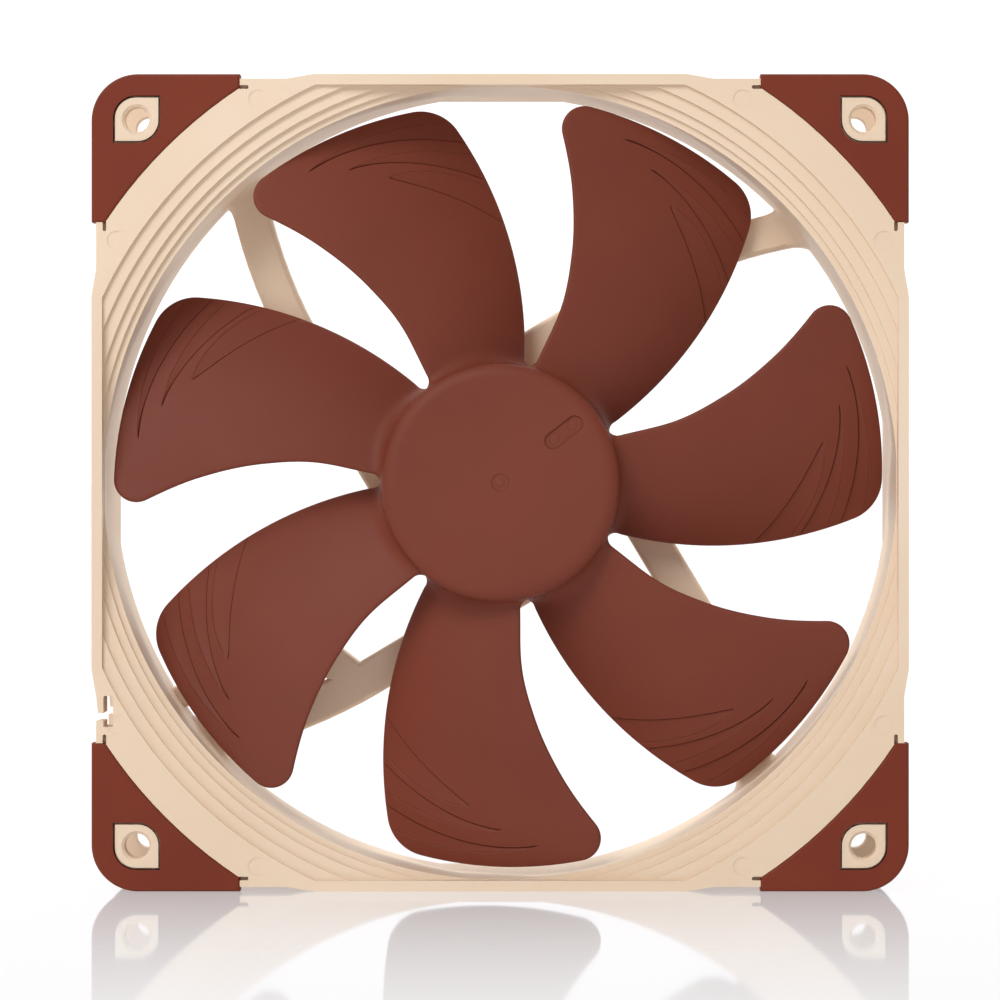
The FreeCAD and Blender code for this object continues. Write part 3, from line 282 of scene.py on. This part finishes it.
def channel_height(point):
    """Relief of the front skin: it steps down at a channel's inner line and rises again to the outer line."""
    if point.length < CHANNELS_FROM:
        return 0.0
    height = 0.0
    for inner, outer in channel_lines:
        share, past_inner = nearest_on(inner, point)
        _, past_outer = nearest_on(outer, point)
        fade = smooth(share * APEX_FADE)
        groove = (max(0.0, 1 - abs(past_inner) / GROOVE_HALF)
                  + OUTER_SHARE * max(0.0, 1 - abs(past_outer) / GROOVE_HALF))
        height -= GROOVE_DEPTH * fade * groove
        if past_inner > 0 > past_outer:
            across = past_inner / (past_inner - past_outer)
            height -= CHANNEL_DEPTH * fade * smooth(past_inner / STEP_WIDTH) * (1 - across) ** RISE_POWER
    return height


# ---------------------------------------------------------------- blade mesh

# How far inside the outline each ring of the rounded edge is
RINGS = (0.0, 0.02, 0.07, 0.15, 0.27, 0.45)
EDGE_ROUND = 0.45
# What a channel leaves of the blade's thickness
THINNEST = 0.2
# The blade goes on into the hub's wall, to this radius, and its rings stay this far outside it
ROOT_RADIUS, ROOT_CLEAR, ROOT_CLOSE_STEPS = 19.9, 0.15, 30
# Reach of the fillet at the hub: in front at the edges, what the middle has more, and behind
FLARE_FRONT, FLARE_SWELL, FLARE_BACK = 1.7, 1.5, 1.8
# Rows of points over the blade: first those at the fillet, then an even spacing; and the step along a row
FILLET_ROWS = [20.2, 20.45, 20.52, 20.62, 20.78, 21.0, 21.3, 21.7, 22.2, 22.8, 23.4]
EVEN_ROWS = [24.2 + 1.1 * number for number in range(39)]
ROW_STEP = 1.2
# How far beside a channel's line there are points; and the least gaps, of those to the last ring, of the rest
# to those, and of the rest to the last ring
RAIL_REACH = 0.35
RAIL_GAP, POINT_GAP, RING_GAP = 0.07, 0.4, 0.25


def rounded(share):
    """Quarter circle from 0 to 1, level from there on."""
    return math.sqrt(1 - (1 - min(share, 1.0)) ** 2)


def half_thickness(point, inset):
    """Half the blade's thickness at a face-on point this far inside the outline, round at the edges."""
    radius, degrees = polar_of(point)
    part = max(0.0, min(1.0, chord_part(radius, degrees)))
    out = (radius - HUB_RADIUS) / (TIP_RADIUS - HUB_RADIUS)
    middle = THICKNESS[0] + out * (THICKNESS[1] - THICKNESS[0])
    half = (EDGE_THICKNESS + (middle - EDGE_THICKNESS) * 4 * part * (1 - part)) / 2
    return half * rounded(inset / EDGE_ROUND)


def root_flare(point, front):
    """Height of the fillet between the blade's skin and the hub."""
    radius, degrees = polar_of(point)
    part = max(0.0, min(1.0, chord_part(radius, degrees)))
    reach = FLARE_FRONT + FLARE_SWELL * math.sin(math.pi * part) if front else FLARE_BACK
    near = max(radius - ROOT_START, 0.0)
    if near >= reach:
        return 0.0
    return reach - math.sqrt(reach ** 2 - (reach - near) ** 2)


def inset_rings(outline):
    """The outline moved inwards by each ring's distance, but nowhere further in than the root."""
    normals = []
    for number, point in enumerate(outline):
        before = outline[max(number - 1, 0)]
        after = outline[min(number + 1, len(outline) - 1)]
        along = (after - before).normalized()
        normals.append(Vector((-along.y, along.x)))
    rings = [[point + normal * inset for point, normal in zip(outline, normals)] for inset in RINGS]
    least = ROOT_RADIUS + ROOT_CLEAR
    return [[point.normalized() * max(point.length, least) for point in ring] for ring in rings]


def inside_points(loop):
    """Points inside the last ring, closer together by the channels, and the edges along their grooves."""
    coarse = []
    for radius in FILLET_ROWS + EVEN_ROWS:
        lead, trail = lead_angle(radius), trail_angle(radius)
        steps = max(4, round(math.radians(lead - trail) * radius / ROW_STEP))
        coarse += [flat(radius, trail + (lead - trail) * number / steps) for number in range(steps + 1)]
    rails = []
    for line in [line for pair in channel_lines for line in pair]:
        ends = list(zip(line, line[1:] + line[-1:]))[::2]
        across = [Vector((low.y - high.y, high.x - low.x)).normalized() for low, high in ends]
        for offset in (-RAIL_REACH, -GROOVE_HALF, 0.0, GROOVE_HALF, RAIL_REACH):
            rails.append([low + side * offset for (low, _), side in zip(ends, across)])
    points, edges = [], []
    for rail in rails:
        before = None
        for point in rail:
            if not inside(loop, point) or min((point - spot).length for spot in loop) < RAIL_GAP:
                before = None
                continue
            points.append(point)
            if before is not None:
                edges.append((before, len(points) - 1))
            before = len(points) - 1
    fine = list(points)
    for point in coarse:
        if all((point - spot).length > POINT_GAP for spot in fine) and inside(loop, point):
            if min((point - spot).length for spot in loop) > RING_GAP:
                points.append(point)
    return points, edges


def inside(loop, point):
    """Whether a face-on point is inside a closed loop of them."""
    found = False
    for low, high in zip(loop, loop[1:] + loop[:1]):
        if (low.y > point.y) != (high.y > point.y):
            if point.x < low.x + (point.y - low.y) / (high.y - low.y) * (high.x - low.x):
                found = not found
    return found


def blade_skins():
    """Vertices and faces of one blade at three o'clock: two skins that meet along the rounded edge."""
    outline = blade_outline()
    rings = inset_rings(outline)
    count = len(outline)
    low_angle, high_angle = polar_of(rings[-1][0])[1], polar_of(rings[-1][-1])[1]
    loop = rings[-1] + [flat(ROOT_RADIUS, high_angle + (low_angle - high_angle) * n / ROOT_CLOSE_STEPS)
                        for n in range(ROOT_CLOSE_STEPS + 1)]
    inner, grooves = inside_points(loop)
    borders = [(n, (n + 1) % len(loop)) for n in range(len(loop))]
    borders += [(low + len(loop), high + len(loop)) for low, high in grooves]
    made = delaunay_2d_cdt(loop + inner, borders, [], 1, 1e-4)
    plane, faces_in = made[0], made[2]
    first_of = {}
    for number, sources in enumerate(made[3]):
        for source in sources:
            first_of[source] = number
    verts, faces = [], []
    for front in (True, False):
        sign = 1 if front else -1
        start = len(verts)

        def lift(point, inset):
            half = half_thickness(point, inset)
            height = half + root_flare(point, front) * rounded(inset / RINGS[-1])
            if front:
                height += max(channel_height(point), THINNEST - 2 * half) * smooth(inset / EDGE_ROUND)
            return middle_point(point) + middle_normal(point) * (sign * height)

        for ring, inset in zip(rings[:-1], RINGS):
            verts += [lift(point, inset) for point in ring]
        inner_start = len(verts)
        verts += [lift(point, RINGS[-1]) for point in plane]
        for level in range(len(RINGS) - 1):
            for n in range(count - 1):
                low = start + level * count
                if level + 1 < len(RINGS) - 1:
                    high = [low + count + n, low + count + n + 1]
                else:
                    high = [inner_start + first_of[n], inner_start + first_of[n + 1]]
                quad = [low + n, low + n + 1, high[1], high[0]]
                faces.append(quad if front else quad[::-1])
        for face in faces_in:
            corners = [inner_start + n for n in face]
            faces.append(corners if front else corners[::-1])
    return verts, faces


def stand_up(point):
    """From face-on millimetres (right, up, towards the intake) to the model's metres."""
    return Vector((point[0] * MM, -point[2] * MM, point[1] * MM))


def add_mesh(name, verts, faces, body, slot):
    """Smooth, closed piece from face-on points and their faces; it moves with the body."""
    mesh = bpy.data.meshes.new(name)
    mesh.from_pydata([stand_up(point) for point in verts], [], faces)
    work = bmesh.new()
    work.from_mesh(mesh)
    bmesh.ops.remove_doubles(work, verts=work.verts, dist=1e-7)
    bmesh.ops.holes_fill(work, edges=work.edges, sides=0)
    bmesh.ops.recalc_face_normals(work, faces=work.faces)
    for face in work.faces:
        face.smooth = True
    work.to_mesh(mesh)
    work.free()
    mesh.set_sharp_from_angle(angle=math.radians(SHARP_ANGLE))
    piece = bpy.data.objects.new(name, mesh)
    scene.collection.objects.link(piece)
    mesh.materials.append(materials[slot])
    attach(piece, body)
    return piece


# ---------------------------------------------------------------- hub

CENTRE = Vector((0, 0))
AROUND = 180
# The balance recess in the face: its place, half its straight length, half its width, its depth and its edge
RECESS_RADIUS, RECESS_ANGLE = 13.9, 38.4
RECESS_REACH, RECESS_HALF = 2.35, 1.4
RECESS_DEPTH, RECESS_EDGE = 0.34, 0.16
# Round pin marks in the recess: places along it, radius, depth and half width of their line
PIN_MARKS = (-1.9, 1.9)
PIN_RADIUS, PIN_DEPTH, PIN_HALF = 0.85, 0.05, 0.12
# Gate mark in the middle, a shallow dish with a stub in it: radius, depth or height, and width of the slope
DISH_RADIUS, DISH_DEPTH, DISH_EDGE = 1.5, 0.16, 0.18
STUB_RADIUS, STUB_HEIGHT, STUB_EDGE = 0.62, 0.12, 0.3
# Radii with points: round the gate mark, over the rest of the face and round a pin mark; the points on each;
# and the same for the recess, as what its half width is grown by and its steps, round an end and along a side
GATE_RADII = (0.2, 0.4, 0.52, 0.6, 0.68, 0.76, 0.9, 1.1, 1.3, 1.42, 1.5, 1.58, 1.8)
FACE_RADII = range(3, 18)
PIN_RADII = (0.6, 0.73, 0.85, 0.97, 1.1)
GATE_COUNT, FACE_COUNT, PIN_COUNT = 36, 60, 26
RECESS_RINGS = (-1.0, -0.6, -0.2, -0.08, 0.0, 0.08, 0.2)
END_STEPS, SIDE_STEPS = 14, 16
# The face's own points stay this far from the recess's outline, but not round the gate mark
RECESS_BAND, GATE_REACH = 0.3, 2
# Half sections as radii and heights: the wall's rear end, from its end plane, and the cup's inside, from its
# flat face
WALL_END = ((HUB_RADIUS, 0.3), (HUB_RADIUS - 0.08, 0.08), (HUB_RADIUS - 0.3, 0.0), (HUB_INNER + 0.25, 0.0),
            (HUB_INNER + 0.06, 0.06), (HUB_INNER, 0.25))
CUP_INSIDE = ((HUB_INNER, 0.4), (HUB_INNER - 0.4, 0.0), (5.4, 0.0), (5.0, -0.1), (5.0, -1.0), (3.2, -1.0),
              (3.2, 1.0), (0.0, 1.0))
# Length of the wall's first ring behind the rim, and the steps of the rim's rounding
WALL_STEP, RIM_STEPS = 2, 14


def stadium_distance(point):
    """Distance from the outline of the balance recess in the hub's face; negative inside."""
    centre, along = flat(RECESS_RADIUS, RECESS_ANGLE), flat(1.0, RECESS_ANGLE)
    offset = point - centre
    reach = max(-RECESS_REACH, min(RECESS_REACH, offset.dot(along)))
    return (offset - along * reach).length - RECESS_HALF


def hub_relief(point):
    """Relief of the hub's face: the balance recess with two pin marks, and the gate mark in the middle."""
    radius = point.length
    height = -RECESS_DEPTH * smooth(0.5 - stadium_distance(point) / RECESS_EDGE)
    for offset in PIN_MARKS:
        spot = flat(RECESS_RADIUS + offset, RECESS_ANGLE)
        height -= PIN_DEPTH * max(0.0, 1 - abs((point - spot).length - PIN_RADIUS) / PIN_HALF)
    height -= DISH_DEPTH * smooth((DISH_RADIUS - radius) / DISH_EDGE + 0.5)
    height += STUB_HEIGHT * smooth((STUB_RADIUS - radius) / STUB_EDGE + 0.5)
    return height


def circle_points(centre, radius, count, start=0.0):
    """Face-on points evenly round a circle, the first of them at the start angle."""
    return [centre + flat(radius, start + 360 * n / count) for n in range(count)]


def recess_points():
    """Points along the balance recess, inside and outside its outline, and round its pin marks."""
    centre, along = flat(RECESS_RADIUS, RECESS_ANGLE), flat(1.0, RECESS_ANGLE)
    across = flat(1.0, RECESS_ANGLE + 90)
    points = []
    for grow in RECESS_RINGS:
        width = RECESS_HALF + grow
        for end, start in ((1, -90), (-1, 90)):
            for n in range(END_STEPS + 1):
                angle = math.radians(start + 180 * n / END_STEPS)
                points.append(centre + along * (RECESS_REACH * end + width * math.cos(angle))
                              + across * (width * math.sin(angle)))
        points += [centre + along * (RECESS_REACH * (2 * n / SIDE_STEPS - 1)) + across * (width * side)
                   for n in range(SIDE_STEPS + 1) for side in (1, -1)]
    for offset in PIN_MARKS:
        for radius in PIN_RADII:
            points += circle_points(flat(RECESS_RADIUS + offset, RECESS_ANGLE), radius, PIN_COUNT)
    return points


def hub_face(front):
    """Vertices and faces of the hub's face, up to its rounded rim."""
    rim = circle_points(CENTRE, HUB_RADIUS - HUB_ROUND, AROUND)
    inner = [CENTRE]
    for radius in GATE_RADII:
        inner += circle_points(CENTRE, radius, GATE_COUNT)
    for radius in FACE_RADII:
        inner += circle_points(CENTRE, radius, FACE_COUNT, radius * 3)
    inner = [point for point in inner
             if abs(stadium_distance(point)) > RECESS_BAND or point.length < GATE_REACH]
    border = [(n, (n + 1) % AROUND) for n in range(AROUND)]
    made = delaunay_2d_cdt(rim + inner + recess_points(), border, [], 1, 1e-3)
    verts = [Vector((point.x, point.y, front + hub_relief(point))) for point in made[0]]
    return verts, [list(face) for face in made[2]]


def hub_profile(front):
    """Radii and heights behind the face: rounded rim, outer wall, its rear end and the inside of the cup."""
    back = FAN_DEPTH / 2 - HUB_BACK
    inside_face = FAN_DEPTH / 2 - HUB_INSIDE
    profile = [(HUB_RADIUS - HUB_ROUND, front)]
    for step in range(1, RIM_STEPS + 1):
        angle = math.radians(90 - 90 * step / RIM_STEPS)
        profile.append((HUB_RADIUS - HUB_ROUND * (1 - math.cos(angle)),
                        front - HUB_DROP * (1 - math.sin(angle))))
    profile.append((HUB_RADIUS, front - HUB_DROP - WALL_STEP))
    profile += [(radius, back + height) for radius, height in WALL_END]
    return profile + [(radius, inside_face + height) for radius, height in CUP_INSIDE]


def hub_shell():
    """Closed shell of the hub: the face with its relief, and the profile behind it turned about the axis."""
    front = FAN_DEPTH / 2 - HUB_FRONT
    verts, faces = hub_face(front)
    profile = hub_profile(front)
    start = len(verts)
    for radius, height in profile[:-1]:
        verts += [Vector((point.x, point.y, height)) for point in circle_points(CENTRE, radius, AROUND)]
    verts.append(Vector((0, 0, profile[-1][1])))
    for level in range(len(profile) - 2):
        low, high = start + level * AROUND, start + (level + 1) * AROUND
        for n in range(AROUND):
            faces.append([low + n, low + (n + 1) % AROUND, high + (n + 1) % AROUND, high + n])
    last = start + (len(profile) - 2) * AROUND
    faces += [[last + n, last + (n + 1) % AROUND, len(verts) - 1] for n in range(AROUND)]
    return verts, faces


# ---------------------------------------------------------------- strut roots

STRUTS = 4
BORE_RADIUS = 68.3
# Section of a strut: half width, heights of its front and back, rounding of its front corners
STRUT_HALF, STRUT_FRONT, STRUT_BACK, STRUT_ROUND = 3.25, -7.8, -12.28, 0.8
# Course of the first strut: direction, straight length, radius of its bend, distance from the axis
STRUT_ANGLE, STRUT_STRAIGHT, STRUT_BEND, STRUT_START = 31.0, 36.7, 87.0, 17.45
# Fillet at the bore's wall: its reach and the sides' share of it; how far inside the strut it starts and how
# far inside the wall it ends
STRUT_FLARE, SIDE_SHARE = 3.0, 0.45
IN_STRUT, IN_WALL = 0.03, 0.5
SECTION_STEPS = 3


def strut_point(aside, turn):
    """Face-on point this far to the left of the first strut's middle line, after this turn of its bend."""
    start = flat(STRUT_START, STRUT_ANGLE + 90)
    centre = start + flat(STRUT_STRAIGHT, STRUT_ANGLE) - flat(STRUT_BEND, STRUT_ANGLE + 90)
    return centre + flat(STRUT_BEND + aside, STRUT_ANGLE + 90 - turn)


def strut_at_radius(aside, radius):
    """Face-on point where the line this far to the left of the middle line crosses this radius."""
    low, high = 0.0, 40.0
    for _ in range(HALVINGS):
        turn = (low + high) / 2
        if strut_point(aside, turn).length < radius:
            low = turn
        else:
            high = turn
    return strut_point(aside, low)


def strut_profile():
    """A strut's section with round front corners: distances aside, heights and outward directions."""
    corner = [(math.cos(math.radians(a)), math.sin(math.radians(a))) for a in range(0, 91, 15)]
    side_height = STRUT_FRONT - STRUT_ROUND - STRUT_BACK
    left = [(STRUT_HALF, STRUT_BACK + side_height * n / SECTION_STEPS, 1.0, 0.0)
            for n in range(SECTION_STEPS)]
    left += [(STRUT_HALF - STRUT_ROUND * (1 - x), STRUT_FRONT - STRUT_ROUND * (1 - z), x, z)
             for x, z in corner]
    return left + [(-aside, height, -x, z) for aside, height, x, z in left[::-1]]


def strut_root():
    """Trumpet-shaped fillet between the first strut and the bore's wall."""
    profile = strut_profile()
    verts = []
    angles = [math.radians(a) for a in range(0, 91, 5)]
    stations = [(STRUT_FLARE * (1 - math.sin(a)), STRUT_FLARE * (1 - math.cos(a))) for a in angles]
    for gap, spread in stations + [(-IN_WALL, STRUT_FLARE)]:
        for aside, height, x, z in profile:
            radius, degrees = polar_of(strut_at_radius(aside, BORE_RADIUS - gap))
            spot = flat(radius, degrees + math.degrees(x * (SIDE_SHARE * spread - IN_STRUT) / radius))
            verts.append(Vector((spot.x, spot.y, height + z * (spread - IN_STRUT))))
    count = len(profile)
    faces = []
    for level in range(len(stations)):
        for n in range(count):
            low, high = level * count, (level + 1) * count
            faces.append([low + n, low + (n + 1) % count, high + (n + 1) % count, high + n])
    return verts, faces


def turned(verts, degrees):
    """The same face-on points, turned about the fan's axis."""
    cos, sin = math.cos(math.radians(degrees)), math.sin(math.radians(degrees))
    return [Vector((p.x * cos - p.y * sin, p.x * sin + p.y * cos, p.z)) for p in verts]


# ---------------------------------------------------------------- materials

def linear(red, green, blue):
    """Linear colour of an sRGB colour given from 0 to 255."""
    return tuple(c / 255 / 12.92 if c <= 10 else ((c / 255 + 0.055) / 1.055) ** 2.4
                 for c in (red, green, blue))


def map_range(tree, value, given, wanted):
    """Output of a node that maps the given range of a value onto the wanted range."""
    node = tree.nodes.new("ShaderNodeMapRange")
    node.inputs["From Min"].default_value, node.inputs["From Max"].default_value = given
    node.inputs["To Min"].default_value, node.inputs["To Max"].default_value = wanted
    tree.links.new(value, node.inputs["Value"])
    return node.outputs["Result"]


def two_tones(tree, value, places, low, high):
    """Output of a ramp from the low to the high colour between two places of a value."""
    node = tree.nodes.new("ShaderNodeValToRGB")
    for element, place, colour in zip(node.color_ramp.elements, places, (low, high)):
        element.position = place
        element.color = (*colour, 1)
    tree.links.new(value, node.inputs["Fac"])
    return node.outputs["Color"]


# Where the noise goes over from one tone to the other, for the mottle and for the flecks; the scale of the
# unevenness of the roughness; and the strength of the grain
MOTTLE_PLACES, FLECK_PLACES = (0.35, 0.68), (0.60, 0.78)
GLOSS_SCALE, GRAIN_STRENGTH = 160.0, 0.35


def surface(name, base, shade, roughness=(0.4, 0.55), grain=(900.0, 0.02), metallic=0.0, mottle=30.0, ior=1.5,
            fleck=None):
    """Procedural surface: two tones mottled together, uneven roughness and a fine grain in the bump."""
    material = bpy.data.materials.new(name)
    material.use_nodes = True
    tree = material.node_tree
    tree.nodes.clear()
    out = tree.nodes.new("ShaderNodeOutputMaterial")
    shader = tree.nodes.new("ShaderNodeBsdfPrincipled")
    tree.links.new(shader.outputs["BSDF"], out.inputs["Surface"])
    shader.inputs["Metallic"].default_value = metallic
    shader.inputs["IOR"].default_value = ior
    place = tree.nodes.new("ShaderNodeTexCoord")

    def noise(scale, detail, roughness_value=0.5):
        node = tree.nodes.new("ShaderNodeTexNoise")
        node.inputs["Scale"].default_value = scale
        node.inputs["Detail"].default_value = detail
        node.inputs["Roughness"].default_value = roughness_value
        tree.links.new(place.outputs["Object"], node.inputs["Vector"])
        return node.outputs["Fac"]

    colour = two_tones(tree, noise(mottle, 4), MOTTLE_PLACES, linear(*shade), linear(*base))
    if fleck:
        fleck_scale, fleck_colour, amount = fleck
        spots = two_tones(tree, noise(fleck_scale, 2, 0.6), FLECK_PLACES, (0, 0, 0), (amount, amount, amount))
        mix = tree.nodes.new("ShaderNodeMix")
        mix.data_type = "RGBA"
        mix.inputs["B"].default_value = (*linear(*fleck_colour), 1)
        tree.links.new(spots, mix.inputs["Factor"])
        tree.links.new(colour, mix.inputs["A"])
        colour = mix.outputs["Result"]
    tree.links.new(colour, shader.inputs["Base Color"])
    gloss = map_range(tree, noise(GLOSS_SCALE, 3), (0.0, 1.0), roughness)
    tree.links.new(gloss, shader.inputs["Roughness"])
    bump = tree.nodes.new("ShaderNodeBump")
    bump.inputs["Strength"].default_value = GRAIN_STRENGTH
    bump.inputs["Distance"].default_value = grain[1] * MM
    tree.links.new(noise(grain[0], 3, 0.6), bump.inputs["Height"])
    tree.links.new(bump.outputs["Normal"], shader.inputs["Normal"])
    return material


# Per material slot: two sRGB tones, range of the roughness, grain as its scale and height in millimetres, and
# flecks as their scale, sRGB colour and amount
FINISHES = {
    "frame_plastic": dict(base=(226, 204, 180), shade=(221, 197, 171), roughness=(0.42, 0.56),
                          grain=(1400.0, 0.03), mottle=22.0, ior=1.34,
                          fleck=(2600.0, (206, 178, 150), 0.25)),
    "impeller_plastic": dict(base=(115, 52, 35), shade=(108, 47, 31), roughness=(0.54, 0.66),
                             grain=(1500.0, 0.02), mottle=26.0, ior=1.35,
                             fleck=(3000.0, (131, 66, 47), 0.3)),
    "pad_rubber": dict(base=(117, 48, 29), shade=(110, 44, 27), roughness=(0.5, 0.62), grain=(1800.0, 0.03),
                       mottle=40.0, ior=1.27),
    "yoke_steel": dict(base=(180, 180, 178), shade=(160, 160, 158), roughness=(0.28, 0.42), metallic=1.0,
                       mottle=80.0),
    "bright_steel": dict(base=(205, 206, 208), shade=(188, 189, 192), roughness=(0.12, 0.22), metallic=1.0),
    "core_steel": dict(base=(104, 106, 110), shade=(86, 88, 92), roughness=(0.4, 0.55), metallic=0.9,
                       mottle=120.0),
    "brass_part": dict(base=(200, 162, 92), shade=(182, 142, 76), roughness=(0.22, 0.35), metallic=1.0),
    "winding_copper": dict(base=(178, 94, 50), shade=(146, 70, 36), roughness=(0.25, 0.4), metallic=0.85,
                           mottle=300.0),
    "magnet_compound": dict(base=(60, 56, 54), shade=(46, 43, 42), roughness=(0.5, 0.65), mottle=90.0),
    "insulator_plastic": dict(base=(38, 38, 40), shade=(28, 28, 30), roughness=(0.4, 0.55), mottle=70.0),
    "bearing_plastic": dict(base=(226, 223, 214), shade=(214, 210, 200), roughness=(0.3, 0.42), mottle=60.0),
    "board_laminate": dict(base=(26, 82, 54), shade=(18, 64, 42), roughness=(0.25, 0.38), mottle=110.0),
    "component_black": dict(base=(32, 32, 34), shade=(22, 22, 24), roughness=(0.4, 0.5), mottle=200.0),
    "label_film": dict(base=(94, 60, 48), shade=(84, 52, 41), roughness=(0.3, 0.4), mottle=35.0),
}
materials = {slot: surface(slot, **finish) for slot, finish in FINISHES.items()}
slot_of = {entry["node"]: entry["material_slot"] for entry in frame["record"]["subparts"]}

for name, piece in nodes.items():
    piece.data.materials.clear()
    piece.data.materials.append(materials[slot_of[name]])


# ---------------------------------------------------------------- impeller and strut roots

hub_verts, hub_faces = hub_shell()
hub = add_mesh("hub_shell", hub_verts, hub_faces, "rotor", "impeller_plastic")
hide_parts("impeller")
blade_verts, blade_faces = blade_skins()
for number in range(BLADES):
    spun = turned(blade_verts, number * 360 / BLADES)
    blade = add_mesh(f"blade_{number + 1}", spun, blade_faces, "rotor", "impeller_plastic")
    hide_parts("impeller")

root_verts, root_faces = strut_root()
for number in range(STRUTS):
    spun = turned(root_verts, number * 360 / STRUTS)
    add_mesh(f"strut_root_{number + 1}", spun, root_faces, "stator", "frame_plastic")


# ---------------------------------------------------------------- floor, light and camera

# The floor in metres: half its width, its near edge and its far edge
FLOOR_HALF, FLOOR_NEAR, FLOOR_FAR = 30, -3, 60
# Between two places from the front to the back: the reflection's share of the floor, and the floor's own glow
SHINE_PLACES, SHINE = (-0.175, -0.012), (0.14, 0.5)
FLOOR_GLOW_PLACES, FLOOR_GLOW = (0.02, 0.4), (0.76, 1.0)
SHINE_COLOUR, SHINE_ROUGHNESS = (0.98, 0.95, 0.97, 1), 0.05
# The same for the studio's light, over the Y of its direction
STUDIO_PLACES, STUDIO_GLOW = (-0.4, 0.6), (0.37, 1.15)
# Area lights that face the fan: name, place, width, height and power
LIGHTS = (
    ("key_light", (-0.45, -0.9, 0.72), 0.55, 0.55, 9.5),
    ("front_light", (0.15, -1.2, -0.3), 0.8, 0.8, 3.1),
    ("top_light", (0.0, 0.4, 1.0), 0.9, 0.5, 4.5),
    ("side_light_0", (-1.0, 0.4, 0.0), 0.5, 0.9, 3.0),
    ("side_light_2", (1.0, 0.4, 0.0), 0.5, 0.9, 3.0),
)


def add_floor():
    """White floor under the fan, with a clear but weak reflection in it."""
    mesh = bpy.data.meshes.new("floor")
    bottom = cad_box[0][2]
    corners = [(-FLOOR_HALF, FLOOR_NEAR, bottom), (FLOOR_HALF, FLOOR_NEAR, bottom),
               (FLOOR_HALF, FLOOR_FAR, bottom), (-FLOOR_HALF, FLOOR_FAR, bottom)]
    mesh.from_pydata(corners, [], [(0, 1, 2, 3)])
    floor = bpy.data.objects.new("floor", mesh)
    scene.collection.objects.link(floor)
    material = surface("floor_white", base=(104, 104, 105), shade=(101, 101, 102), roughness=(0.5, 0.6),
                       mottle=3.0, grain=(40.0, 0.0))
    tree = material.node_tree
    shader = tree.nodes["Principled BSDF"]
    shader.inputs["Specular IOR Level"].default_value = 0.0
    shader.inputs["Emission Color"].default_value = (1, 1, 1, 1)
    gloss = tree.nodes.new("ShaderNodeBsdfGlossy")
    gloss.inputs["Color"].default_value = SHINE_COLOUR
    gloss.inputs["Roughness"].default_value = SHINE_ROUGHNESS
    mix = tree.nodes.new("ShaderNodeMixShader")
    place = tree.nodes.new("ShaderNodeTexCoord")
    split = tree.nodes.new("ShaderNodeSeparateXYZ")
    tree.links.new(place.outputs["Object"], split.inputs["Vector"])
    glow = map_range(tree, split.outputs["Y"], FLOOR_GLOW_PLACES, FLOOR_GLOW)
    tree.links.new(glow, shader.inputs["Emission Strength"])
    tree.links.new(map_range(tree, split.outputs["Y"], SHINE_PLACES, SHINE), mix.inputs["Fac"])
    tree.links.new(shader.outputs["BSDF"], mix.inputs[1])
    tree.links.new(gloss.outputs["BSDF"], mix.inputs[2])
    tree.links.new(mix.outputs["Shader"], tree.nodes["Material Output"].inputs["Surface"])
    mesh.materials.append(material)


def add_world():
    """White studio behind the fan, dimmer on the side it is seen from."""
    world = bpy.data.worlds.new("studio")
    world.use_nodes = True
    tree = world.node_tree
    place = tree.nodes.new("ShaderNodeTexCoord")
    split = tree.nodes.new("ShaderNodeSeparateXYZ")
    tree.links.new(place.outputs["Generated"], split.inputs["Vector"])
    strength = map_range(tree, split.outputs["Y"], STUDIO_PLACES, STUDIO_GLOW)
    tree.links.new(strength, tree.nodes["Background"].inputs["Strength"])
    tree.nodes["Background"].inputs["Color"].default_value = (1, 1, 1, 1)
    scene.world = world


def add_area(name, place, width, height, power):
    """Rectangular light at a place, turned to the middle of the fan."""
    light = bpy.data.lights.new(name, "AREA")
    light.shape = "RECTANGLE"
    light.size, light.size_y = width, height
    light.energy = power
    lamp = bpy.data.objects.new(name, light)
    lamp.location = place
    lamp.rotation_euler = (Vector() - Vector(place)).to_track_quat("-Z", "Y").to_euler()
    scene.collection.objects.link(lamp)


add_floor()
add_world()
scene.view_settings.view_transform = "Standard"
for light in LIGHTS:
    add_area(*light)

camera_data = bpy.data.cameras.new("camera")
camera_data.sensor_width = 36.0
camera_data.lens = 151.0
camera_data.shift_x, camera_data.shift_y = -0.044, -0.019
camera_data.clip_start, camera_data.clip_end = 0.01, 200.0
camera = bpy.data.objects.new("camera", camera_data)
camera.location = (0.0075, -0.7305, 0.0003)
camera.rotation_euler = (math.radians(90), 0, 0)
scene.collection.objects.link(camera)
scene.camera = camera
